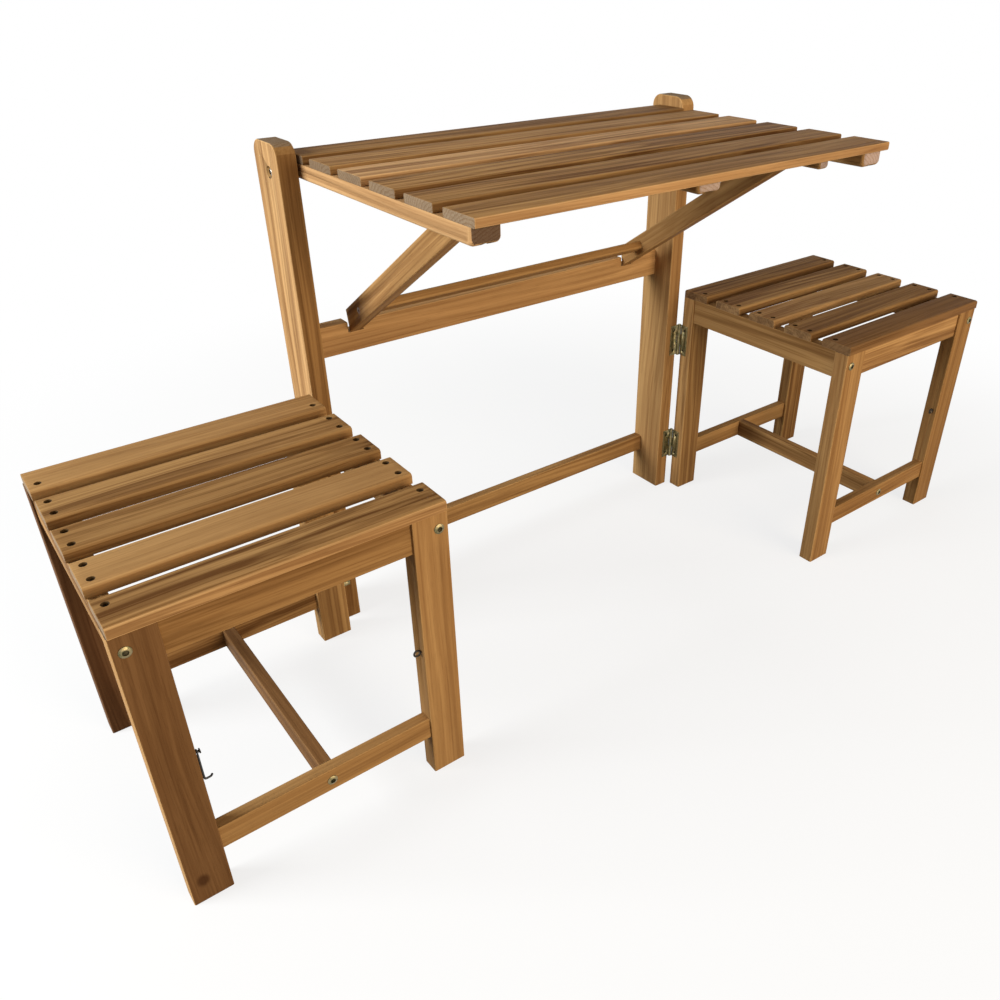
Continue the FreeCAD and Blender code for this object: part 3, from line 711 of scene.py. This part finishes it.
def drop_slivers(shape):
    """Takes out the faces and edges of no size that a bevel or a cut leaves behind."""
    merge_points(shape)
    bmesh.ops.dissolve_degenerate(shape, edges=shape.edges, dist=MERGE)


def ease(shape, edges, offset):
    bmesh.ops.bevel(shape, geom=edges, offset=offset, offset_type="OFFSET", segments=EASED_STEPS,
                    profile=EASED_PROFILE, affect="EDGES", clamp_overlap=True)


def eased_copy(node, rounding):
    """A CAD node's shape as a mesh with clean faces and its outer edges rounded a little."""
    shape = shape_of(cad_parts[node].data)
    merge_points(shape)
    bmesh.ops.dissolve_limit(shape, angle_limit=FLAT_ANGLE, verts=shape.verts, edges=shape.edges)
    sharp = [edge for edge in shape.edges
             if edge.is_manifold and edge.is_convex and edge.calc_face_angle() > SHARP_ANGLE
             and edge.calc_length() > SHORTEST_EASED * rounding]
    ease(shape, sharp, rounding)
    drop_slivers(shape)
    return mesh_from(node, shape)


def islands(mesh):
    """Vertex numbers of each separate solid in a mesh, from the one farthest back to the foremost."""
    owner = list(range(len(mesh.vertices)))

    def root(number):
        while owner[number] != number:
            owner[number] = owner[owner[number]]
            number = owner[number]
        return number

    def forwardness(members):
        return -sum(mesh.vertices[member].co.y for member in members) / len(members)

    for edge in mesh.edges:
        first, second = sorted((root(edge.vertices[0]), root(edge.vertices[1])))
        owner[second] = first
    groups = {}
    for number in range(len(owner)):
        groups.setdefault(root(number), []).append(number)
    return sorted(groups.values(), key=forwardness)


def solids_of(node):
    """Points of each solid in a CAD node, from the one farthest back to the foremost."""
    shape = shape_of(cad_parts[node].data)
    merge_points(shape)
    merged = mesh_from(node + "_merged", shape)
    places = np.array([vertex.co for vertex in merged.vertices])
    solids = [places[members] for members in islands(merged)]
    bpy.data.meshes.remove(merged)
    return solids


def add_layer(mesh, label, domain, values):
    """Stores a number or a vector for each point or face of a mesh."""
    values = np.asarray(values, np.float32)
    layer = mesh.attributes.new(label, "FLOAT_VECTOR" if values.ndim == 2 else "FLOAT", domain)
    layer.data.foreach_set("vector" if values.ndim == 2 else "value", values.ravel())


def stamp_grain(mesh, name, slope):
    """Gives each board of a mesh its own grain place and tone, and marks its sawn ends and eased edges."""
    turn = np.array(Matrix.Rotation(slope, 3, "X"))
    places = np.array([vertex.co for vertex in mesh.vertices]) @ turn.T
    grain = np.zeros((len(places), 3), np.float32)
    look = np.zeros((len(places), 3), np.float32)
    board_axis = np.zeros(len(places), np.int64)
    board_number = np.zeros(len(places), np.int64)
    looks = BOARD_LOOKS.get(name, ())
    for number, members in enumerate(islands(mesh)):
        chance = random.Random("%s %d" % (name, number))
        points = places[members]
        low, high = points.min(0), points.max(0)
        order = np.argsort(low - high)
        long_axis, wide_axis, thin_axis = order
        heart = (low + high) / 2.0
        heart[wide_axis] -= chance.choice((-1, 1)) * chance.uniform(*HEART_ASIDE)
        heart[thin_axis] -= chance.uniform(*HEART_BELOW)
        heart[long_axis] -= chance.uniform(*TRUNK_START)
        grain[members] = (points - heart)[:, order]
        chosen = (chance.uniform(*CHANCE_TONE), chance.uniform(*CHANCE_FIGURE), 0.0)
        look[members] = looks[number] if number < len(looks) else chosen
        board_axis[members] = long_axis
        board_number[members] = number
    normals = np.array([face.normal for face in mesh.polygons]) @ turn.T
    first = [face.vertices[0] for face in mesh.polygons]
    end = np.abs(normals[np.arange(len(first)), board_axis[first]]) > END_TURN
    edge = np.abs(normals).max(1) < EDGE_TURN
    # Tones of boards and of their ends, in part painted light and shade
    tone, figure, end_tone = look[first].T
    tone = np.where(end, end_tone, tone)
    # Sides that are lit or shaded more than the rest of their board get painted light and shade in their tone
    for board, number, way, painted_light in PAINTED_SIDE_LIGHT:
        if board == name:
            tone[(board_number[first] == number) & (normals @ np.array(way) > SIDE_TURN)] += painted_light
    add_layer(mesh, "grain", "POINT", grain)
    add_layer(mesh, "tone", "FACE", tone)
    add_layer(mesh, "figure", "FACE", figure)
    add_layer(mesh, "end", "FACE", end * SAWN_COLOUR_KEPT.get(name, 1.0))
    add_layer(mesh, "edge", "FACE", edge)


def finish_board(name, mesh, nodes, body, slot, slope=0.0, finish=None):
    smoothed(mesh)
    stamp_grain(mesh, name, slope)
    dress(mesh, finish or slot)
    stand_in(name + "_dressed", mesh, nodes, body)


def add_board(node, body, slot, slope=0.0, finish=None):
    """A wooden piece that stands for its CAD node."""
    mesh = eased_copy(node, bpy.context.scene.table_set_wood.edge_rounding)
    finish_board(node, mesh, [node], body, slot, slope, finish)


def rounded_slat(low, high, long_radius, round_below):
    """A slat with its long edges rounded, the lower ones too if wanted, and its ends eased."""
    shape = bmesh.new()
    bmesh.ops.create_cube(shape, size=1.0)
    bmesh.ops.scale(shape, verts=shape.verts, vec=high - low)
    bmesh.ops.translate(shape, verts=shape.verts, vec=(low + high) / 2.0)
    middle = (low.z + high.z) / 2.0
    long_edges = [edge for edge in shape.edges
                  if abs(edge.verts[0].co.x - edge.verts[1].co.x) > LENGTHWISE
                  and (round_below or edge.verts[0].co.z > middle)]
    bmesh.ops.bevel(shape, geom=long_edges, offset=long_radius, segments=LONG_EDGE_STEPS,
                    profile=ROUND_PROFILE, affect="EDGES")
    end_edges = [edge for edge in shape.edges if edge.calc_face_angle() > SHARP_ANGLE]
    ease(shape, end_edges, bpy.context.scene.table_set_wood.edge_rounding)
    return mesh_from("slat", shape)


def turned_mesh(name, profile):
    """A closed solid turned about Z from (radius, height) pairs, bottom to top."""
    shape = bmesh.new()
    angles = [math.tau * step / TURN_STEPS for step in range(TURN_STEPS)]
    rings = []
    for radius, height in profile:
        rings.append([shape.verts.new((radius * math.cos(a), radius * math.sin(a), height)) for a in angles])
    for lower, upper in zip(rings, rings[1:]):
        for step in range(TURN_STEPS):
            after = (step + 1) % TURN_STEPS
            shape.faces.new((lower[step], lower[after], upper[after], upper[step]))
    shape.faces.new(list(reversed(rings[0])))
    shape.faces.new(rings[-1])
    return mesh_from(name, shape)


def point_mesh(name, places, ways=None):
    mesh = bpy.data.meshes.new(name)
    mesh.from_pydata([tuple(place) for place in places], [], [])
    if ways is not None:
        add_layer(mesh, "way", "POINT", ways)
    return mesh


def mark_holes(mesh, mouths):
    """Marks the faces inside the holes drilled down from the given points, for painted shade in the wood."""
    centres = np.array([face.center for face in mesh.polygons])
    marked = np.zeros(len(centres), bool)
    for x, y, z in mouths:
        reach = np.hypot(centres[:, 0] - x, centres[:, 1] - y)
        marked |= (reach < HOLE_REACH) & (centres[:, 2] < z - HOLE_TOP) & (centres[:, 2] > z - HOLE_BOTTOM)
    add_layer(mesh, "hole", "FACE", marked)


# Geometry nodes
def new_tree(name, sockets):
    """An empty geometry node tree with its named inputs, and the values of those inputs."""
    tree = bpy.data.node_groups.new(name, "GeometryNodeTree")
    for label, kind in sockets.items():
        tree.interface.new_socket(label, in_out="INPUT", socket_type=kind)
    tree.interface.new_socket("Geometry", in_out="OUTPUT", socket_type="NodeSocketGeometry")
    nodes = Nodes(tree)
    return nodes, nodes.node("NodeGroupInput", {}, {})


def end_tree(nodes, geometry, material):
    real = nodes.node("GeometryNodeRealizeInstances", {}, {0: geometry})
    dressed = nodes.node("GeometryNodeSetMaterial", {}, {"Geometry": real, "Material": material})
    nodes.node("NodeGroupOutput", {}, {0: dressed})
    return nodes.tree


@functools.cache
def slat_row_tree():
    """A row of slats, each a step from the last, with a hole at each point of the mesh."""
    nodes, given = new_tree("slat_row", {
        "Geometry": "NodeSocketGeometry", "Slat": "NodeSocketObject", "Count": "NodeSocketInt",
        "Step": "NodeSocketVector", "Drill": "NodeSocketObject", "Material": "NodeSocketMaterial"})
    line = nodes.node("GeometryNodeMeshLine", {"mode": "OFFSET"},
                      {"Count": given.other("Count"), "Offset": given.other("Step")})
    slat = nodes.node("GeometryNodeObjectInfo", {}, {"Object": given.other("Slat")}, "Geometry")
    row = nodes.node("GeometryNodeInstanceOnPoints", {}, {"Points": line, "Instance": slat})
    drill = nodes.node("GeometryNodeObjectInfo", {}, {"Object": given.other("Drill")}, "Geometry")
    holes = nodes.node("GeometryNodeInstanceOnPoints", {}, {"Points": given, "Instance": drill})
    solid = nodes.node("GeometryNodeRealizeInstances", {}, {0: row})
    cutters = nodes.node("GeometryNodeRealizeInstances", {}, {0: holes})
    drilled = nodes.node("GeometryNodeMeshBoolean", {"operation": "DIFFERENCE", "solver": "EXACT"},
                         {"Mesh 1": solid, "Mesh 2": cutters})
    return end_tree(nodes, drilled, given.other("Material"))


@functools.cache
def fastener_tree():
    """A fastener at each point, its head turned the way of the point and spun by chance."""
    nodes, given = new_tree("fasteners", {
        "Geometry": "NodeSocketGeometry", "Fastener": "NodeSocketObject", "Seed": "NodeSocketInt",
        "Material": "NodeSocketMaterial"})
    template = nodes.node("GeometryNodeObjectInfo", {}, {"Object": given.other("Fastener")}, "Geometry")
    way = nodes.node("GeometryNodeInputNamedAttribute", {"data_type": "FLOAT_VECTOR"}, {"Name": "way"})
    facing = nodes.node("FunctionNodeAlignRotationToVector", {"axis": "Z"}, {"Vector": way})
    spin = nodes.node("FunctionNodeRandomValue", {"data_type": "FLOAT"},
                      {2: 0.0, 3: math.tau, "Seed": given.other("Seed")}, 1)
    spun = nodes.node("FunctionNodeAxisAngleToRotation", {}, {"Axis": (0.0, 0.0, 1.0), "Angle": spin})
    turned = nodes.node("FunctionNodeRotateRotation", {"rotation_space": "LOCAL"},
                        {"Rotation": facing, "Rotate By": spun})
    row = nodes.node("GeometryNodeInstanceOnPoints", {},
                     {"Points": given, "Instance": template, "Rotation": turned})
    return end_tree(nodes, row, given.other("Material"))


def grown(name, tree, points, inputs):
    """The result of a geometry node tree on a mesh of points, as a plain mesh."""
    holder = new_object(name, points)
    modifier = holder.modifiers.new("grow", "NODES")
    modifier.node_group = tree
    for item in tree.interface.items_tree:
        if item.in_out == "INPUT" and item.name in inputs:
            modifier[item.identifier] = inputs[item.name]
    mesh = result_of(holder)
    for tool in inputs.values():
        if isinstance(tool, bpy.types.Object):
            bpy.data.objects.remove(tool)
    return mesh


# Fasteners
def fasteners(node):
    """The fasteners in a CAD node, told by their widest end, which is the head."""
    found = []
    for points in solids_of(node):
        low, high = points.min(0), points.max(0)
        axis = int(np.argmax(high - low))
        middle = (low + high) / 2.0
        radius = np.linalg.norm(np.delete(points - middle, axis, 1), axis=1)
        widest = points[radius > radius.max() - WIDEST][:, axis].mean()
        sign = 1.0 if widest > middle[axis] else -1.0
        top = middle.copy()
        top[axis] = high[axis] if sign > 0 else low[axis]
        way = np.zeros(3)
        way[axis] = sign
        found.append(Found(top, way, float(high[axis] - low[axis]), float(radius.max())))
    return found


def stool_screws(side):
    """The seat screws and the hinge screws of a stool."""
    placed = fasteners(side + "_stool_screws")
    seat = [screw for screw in placed if screw.way[2] > UPRIGHT]
    hinge = [screw for screw in placed if screw.way[2] <= UPRIGHT]
    return seat, hinge


def fastener_profile(kind, head_radius, length):
    """Radius and height pairs of a fastener whose head's top is at height 0."""
    head, shank = kind.head_height, kind.shank_radius
    profile = [(shank * TIP_RADIUS, -length), (shank, TIP_LENGTH * shank - length)]
    if kind.style == "countersunk":
        cone = head_radius - shank
        return profile + [(shank, -cone - NECK), (head_radius, -RIM), (head_radius - RIM, 0.0)]
    profile += [(shank, -head), (head_radius, -head)]
    for angle in DOME_ANGLES:
        turn = math.radians(angle)
        profile.append((head_radius * math.cos(turn), -head * (1.0 - math.sin(turn)) * DOME_RISE))
    return profile


def socket_cut(mesh, sides, width, depth):
    """Cuts a hex socket or a cross slot into the top of a turned fastener and marks the socket's faces for
    painted shade.
    """
    cutter = bmesh.new()
    if sides == HEX:
        bmesh.ops.create_cone(cutter, cap_ends=True, segments=HEX, radius1=width, radius2=width,
                              depth=2.0 * depth)
    else:
        for turn in (0.0, math.pi / 2.0):
            made = bmesh.ops.create_cube(cutter, size=1.0)["verts"]
            bmesh.ops.scale(cutter, verts=made, vec=(2.0 * width, SLOT_WIDTH * width, 2.0 * depth))
            bmesh.ops.rotate(cutter, verts=made, matrix=Matrix.Rotation(turn, 3, "Z"))
    tool = new_object("socket_tool", mesh_from("socket_tool", cutter))
    work = new_object("socket_work", mesh)
    modifier = work.modifiers.new("socket", "BOOLEAN")
    modifier.object = tool
    modifier.solver = "EXACT"
    modifier.use_self = True
    shape = shape_of(result_of(work))
    bpy.data.objects.remove(tool)
    drop_slivers(shape)
    cut = mesh_from("socketed", shape)
    centres = np.array([face.center for face in cut.polygons])
    add_layer(cut, "recess", "FACE", np.hypot(centres[:, 0], centres[:, 1]) < width * SOCKET_EDGE)
    return cut


def add_fasteners(name, places, nodes, kind, body, slot, finish=None, head_radius=None):
    """One mesh of fasteners at the places of the CAD ones."""
    head_radius = head_radius or places[0].radius
    solid = turned_mesh("fastener", fastener_profile(kind, head_radius, places[0].length))
    cut = socket_cut(solid, kind.socket_sides, head_radius * SOCKET_WIDTH, kind.head_height * SOCKET_DEPTH)
    points = point_mesh(name, [place.top for place in places], [place.way for place in places])
    mesh = grown(name, fastener_tree(), points, {
        "Fastener": new_object("fastener_template", cut), "Seed": len(name),
        "Material": finish_named(finish or slot)})
    smoothed(mesh)
    stand_in(name, mesh, nodes, body)


# Hooks
def hook_route(node):
    """Control points and wire radius of a hook: a loop round its screw, a shank and a turned-up tip."""
    low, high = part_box(node)
    centre_z = high.z - HOOK_LOOP - HOOK_LOOP_WIRE
    foot = low.z + HOOK_WIRE
    middle_y = (low.y + high.y) / 2.0
    core_x = low.x + HOOK_INSET
    # The wire runs inside the corners of its control points, so those of the loop stand further out
    reach = HOOK_LOOP / math.cos(math.radians(HOOK_TURN / 2))
    route = []
    for turn in HOOK_TURNS:
        angle = math.radians(turn)
        y = middle_y + reach * math.sin(angle)
        z = centre_z - reach * math.cos(angle)
        route.append((core_x, y, z, HOOK_LOOP_WIRE))
    route += [(core_x, middle_y, centre_z - drop, HOOK_WIRE) for drop in HOOK_NECK]
    route += [(core_x + out, middle_y, foot + rise, HOOK_WIRE) for out, rise in HOOK_TIP]
    return route


def bent_wire(name, route):
    """A round wire along a smooth line near the control points of a route, as a plain mesh."""
    curve = bpy.data.curves.new(name, "CURVE")
    curve.dimensions = "3D"
    curve.bevel_depth = HOOK_WIRE
    curve.bevel_resolution = WIRE_ROUNDNESS
    curve.resolution_u = WIRE_STEPS
    curve.use_fill_caps = True
    spline = curve.splines.new("NURBS")
    spline.points.add(len(route) - 1)
    for point, (x, y, z, thickness) in zip(spline.points, route):
        point.co = (x, y, z, 1.0)
        point.radius = thickness / HOOK_WIRE
    spline.order_u = 3
    spline.use_endpoint_u = True
    shape = shape_of(result_of(new_object(name + "_route", curve)))
    merge_points(shape, WIRE_MERGE)
    bmesh.ops.recalc_face_normals(shape, faces=shape.faces)
    wire = mesh_from(name, shape)
    smoothed(wire)
    return wire


# Stage
def add_aimed(name, data, place, way):
    """A light or camera at a place, looking a given way."""
    aimed = new_object(name, data)
    aimed.location = place
    aimed.rotation_euler = way.to_track_quat("-Z", "Y").to_euler()
    return aimed


def add_light(name, place, power, colour, size):
    """A square light that looks at the middle of the object."""
    lamp = bpy.data.lights.new(name, "AREA")
    lamp.energy = power
    lamp.color = colour
    lamp.size = size
    add_aimed(name, lamp, place, (cad_low + cad_high) / 2.0 - Vector(place))


def add_floor(stage):
    """A pale floor that fades to white away from the object and keeps its shadow."""
    shape = bmesh.new()
    bmesh.ops.create_grid(shape, x_segments=1, y_segments=1, size=FLOOR_SIZE)
    floor = new_object("floor", mesh_from("floor", shape))
    finish = Finish("pale_floor")
    seen = finish.seen_directly()
    paint = finish.mix(seen, stage.floor_bounce, stage.floor)
    lit = finish.node("ShaderNodeBsdfDiffuse", {}, {"Color": paint})
    glow = finish.node("ShaderNodeEmission", {}, {"Color": WHITE, "Strength": 1.0})
    shaded = finish.length(finish.object_place()).stepped(*FLOOR_FADE) * FLOOR_SHADE
    shader = finish.node("ShaderNodeMixShader", {}, {0: seen * (1.0 - shaded), 1: lit, 2: glow})
    finish.node("ShaderNodeOutputMaterial", {}, {"Surface": shader})
    floor.data.materials.append(finish.material)


def add_world(scene, stage):
    """An even light from all round that the camera sees as white."""
    world = bpy.data.worlds.new("studio")
    world.use_nodes = True
    world.node_tree.nodes.clear()
    nodes = Nodes(world.node_tree)
    seen = nodes.seen_directly()
    strength = seen + (1.0 - seen) * stage.fill
    sky = nodes.node("ShaderNodeBackground", {}, {"Color": WHITE, "Strength": strength})
    nodes.node("ShaderNodeOutputWorld", {}, {"Surface": sky})
    scene.world = world


# Pieces
class TABLESET_OT_frame_boards(bpy.types.Operator):
    """Posts and rails of the fixed frame"""
    bl_idname = "table_set.frame_boards"
    bl_label = "Posts and rails"

    def execute(self, context):
        for node in FRAME_BOARDS:
            add_board(node, "frame", "frame_wood")
        return {"FINISHED"}


class TABLESET_OT_leaf(bpy.types.Operator):
    """Slats, battens and cleats of the table leaf"""
    bl_idname = "table_set.leaf"
    bl_label = "Table leaf"

    def execute(self, context):
        low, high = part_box(LEAF_SLATS[0])
        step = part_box(LEAF_SLATS[1])[0] - low
        slat = rounded_slat(low, high, context.scene.table_set_wood.leaf_rounding, True)
        mesh = grown("leaf_slats", slat_row_tree(), point_mesh("no_holes", []), {
            "Slat": new_object("slat_template", slat), "Count": len(LEAF_SLATS), "Step": tuple(step),
            "Material": finish_named("leaf_wood")})
        finish_board("leaf_slats", mesh, LEAF_SLATS, "table_top", "leaf_wood")
        for node in LEAF_BOARDS:
            add_board(node, "table_top", "batten_wood")
        return {"FINISHED"}


class TABLESET_OT_prop(bpy.types.Operator):
    """Arms and cross bar that prop the leaf"""
    bl_idname = "table_set.prop"
    bl_label = "Prop frame"

    def execute(self, context):
        for node in PROP_BOARDS:
            add_board(node, "prop", "prop_wood", context.scene.table_set_wood.arm_slope)
        return {"FINISHED"}


class TABLESET_OT_stools(bpy.types.Operator):
    """Legs, aprons and stretchers of both stools"""
    bl_idname = "table_set.stools"
    bl_label = "Stool frames"

    def execute(self, context):
        for side in STOOL_SIDES:
            for board in STOOL_BOARDS:
                node = "%s_stool_%s" % (side, board)
                finish = "knotted_leg" if node == KNOTTED_LEG else None
                add_board(node, side + "_stool", "stool_wood", finish=finish)
        return {"FINISHED"}


class TABLESET_OT_seats(bpy.types.Operator):
    """Drilled seat slats of both stools"""
    bl_idname = "table_set.seats"
    bl_label = "Seat slats"

    def execute(self, context):
        for side in STOOL_SIDES:
            node = side + "_stool_seat_slats"
            slats = solids_of(node)
            low, high = Vector(slats[0].min(0)), Vector(slats[0].max(0))
            step = Vector(slats[1].min(0)) - low
            mouths = [(screw.top[0], screw.top[1], high.z) for screw in stool_screws(side)[0]]
            slat = rounded_slat(low, high, context.scene.table_set_wood.seat_rounding, False)
            mesh = grown(node, slat_row_tree(), point_mesh("holes", mouths), {
                "Slat": new_object("slat_template", slat), "Count": len(slats), "Step": tuple(step),
                "Drill": new_object("drill", turned_mesh("drill", SEAT_DRILL)),
                "Material": finish_named("seat_wood")})
            mark_holes(mesh, mouths)
            finish_board(side + "_seat_slats", mesh, [node], side + "_stool", "seat_wood")
        return {"FINISHED"}


class TABLESET_OT_screws(bpy.types.Operator):
    """Wood screws of the seats, the leaf, the props and the hinges"""
    bl_idname = "table_set.screws"
    bl_label = "Screws"

    def execute(self, context):
        for side in STOOL_SIDES:
            node, body = side + "_stool_screws", side + "_stool"
            seat, hinge = stool_screws(side)
            # The seat screws take the dark steel as painted shade at the bottom of their holes
            add_fasteners(side + "_seat_screws", seat, [node], WOOD_SCREW, body, "steel", "dark_screw")
            add_fasteners(side + "_hinge_screws", hinge, [node], HINGE_SCREW, body, "steel", "brass")
        leaf = fasteners("leaf_screws")
        for tenths in sorted({round(screw.length * TENTHS) for screw in leaf}):
            alike = [screw for screw in leaf if round(screw.length * TENTHS) == tenths]
            add_fasteners("leaf_screws_%d_tenths" % tenths, alike, ["leaf_screws"], WOOD_SCREW, "table_top",
                          "steel")
        add_fasteners("arm_screws", fasteners("prop_screws"), ["prop_screws"], ARM_SCREW, "prop", "steel",
                      "brown_paint")
        add_fasteners("post_hinge_screws_dressed", fasteners("post_hinge_screws"), ["post_hinge_screws"],
                      HINGE_SCREW, "frame", "steel", "brass")
        return {"FINISHED"}


class TABLESET_OT_bolts(bpy.types.Operator):
    """Bolts of the stools, the leaf and the props, and the washers of the leaf"""
    bl_idname = "table_set.bolts"
    bl_label = "Bolts and washers"

    def execute(self, context):
        head_radius = context.scene.table_set_metal.bolt_head
        for side in STOOL_SIDES:
            node = side + "_stool_bolts"
            add_fasteners(node + "_dressed", fasteners(node), [node], STOOL_BOLT, side + "_stool", "brass",
                          head_radius=head_radius)
        add_fasteners("pivot_bolts_dressed", fasteners("pivot_bolts"), ["pivot_bolts"], LEAF_PIVOT_BOLT,
                      "frame", "steel")
        add_fasteners("prop_pivot_bolts_dressed", fasteners("prop_pivot_bolts"), ["prop_pivot_bolts"],
                      PROP_PIVOT_BOLT, "table_top", "steel")
        dress(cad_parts["pivot_washers"].data, "steel")
        return {"FINISHED"}


class TABLESET_OT_hinges(bpy.types.Operator):
    """Butt hinges between the posts and the stools"""
    bl_idname = "table_set.hinges"
    bl_label = "Hinges"

    def execute(self, context):
        for node, body in HINGE_BODIES.items():
            mesh = eased_copy(node, HINGE_ROUNDING)
            smoothed(mesh)
            dress(mesh, "brass")
            stand_in(node + "_dressed", mesh, [node], body)
        return {"FINISHED"}


class TABLESET_OT_latches(bpy.types.Operator):
    """Hooks and screw eyes that hold the folded stools together"""
    bl_idname = "table_set.latches"
    bl_label = "Hooks and eyes"

    def execute(self, context):
        for side in STOOL_SIDES:
            dress(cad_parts[side + "_stool_latch_eyes"].data, "dark_screw")
            node = side + "_hook"
            mesh = bent_wire(node, hook_route(node))
            dress(mesh, "black_steel")
            stand_in(node + "_dressed", mesh, [node], node)
        return {"FINISHED"}


class TABLESET_OT_stage(bpy.types.Operator):
    """Floor, lights and camera"""
    bl_idname = "table_set.stage"
    bl_label = "Stage"

    def execute(self, context):
        scene = context.scene
        stage = scene.table_set_stage
        scene.view_settings.view_transform = "Standard"
        add_floor(stage)
        add_world(scene, stage)
        add_light("side_light", stage.side_place, stage.side_power, stage.side_colour, stage.side_size)
        add_light("front_light", stage.front_place, stage.front_power, stage.front_colour, stage.front_size)
        camera_data = bpy.data.cameras.new("camera")
        camera_data.sensor_width = SENSOR_WIDTH
        camera_data.lens = stage.focal_length
        camera_data.shift_x = stage.shift_x
        camera_data.shift_y = stage.shift_y
        camera_data.clip_start = CLIP_START
        scene.camera = add_aimed("camera", camera_data, stage.camera_place, Vector(stage.camera_view))
        return {"FINISHED"}


OPERATORS = (TABLESET_OT_frame_boards, TABLESET_OT_leaf, TABLESET_OT_prop, TABLESET_OT_stools,
             TABLESET_OT_seats, TABLESET_OT_screws, TABLESET_OT_bolts, TABLESET_OT_hinges,
             TABLESET_OT_latches, TABLESET_OT_stage)


class TABLESET_PT_panel(bpy.types.Panel):
    """Buttons for the parts of the table set"""
    bl_idname = "TABLESET_PT_panel"
    bl_label = "Folding balcony table set"
    bl_space_type = "VIEW_3D"
    bl_region_type = "UI"
    bl_category = "Table set"

    def draw(self, context):
        for operator in OPERATORS:
            self.layout.operator(operator.bl_idname)
        for settings in (context.scene.table_set_wood, context.scene.table_set_metal,
                         context.scene.table_set_stage):
            for name in settings.__annotations__:
                self.layout.prop(settings, name)


CLASSES = (WoodSettings, MetalSettings, StageSettings) + OPERATORS + (TABLESET_PT_panel,)


def register():
    for kind in CLASSES:
        bpy.utils.register_class(kind)
    bpy.types.Scene.table_set_wood = PointerProperty(type=WoodSettings)
    bpy.types.Scene.table_set_metal = PointerProperty(type=MetalSettings)
    bpy.types.Scene.table_set_stage = PointerProperty(type=StageSettings)


def unregister():
    del bpy.types.Scene.table_set_stage
    del bpy.types.Scene.table_set_metal
    del bpy.types.Scene.table_set_wood
    for kind in reversed(CLASSES):
        bpy.utils.unregister_class(kind)


def main():
    register()
    for operator in OPERATORS:
        group, name = operator.bl_idname.split(".")
        getattr(getattr(bpy.ops, group), name)()


if __name__ == "__main__":
    main()
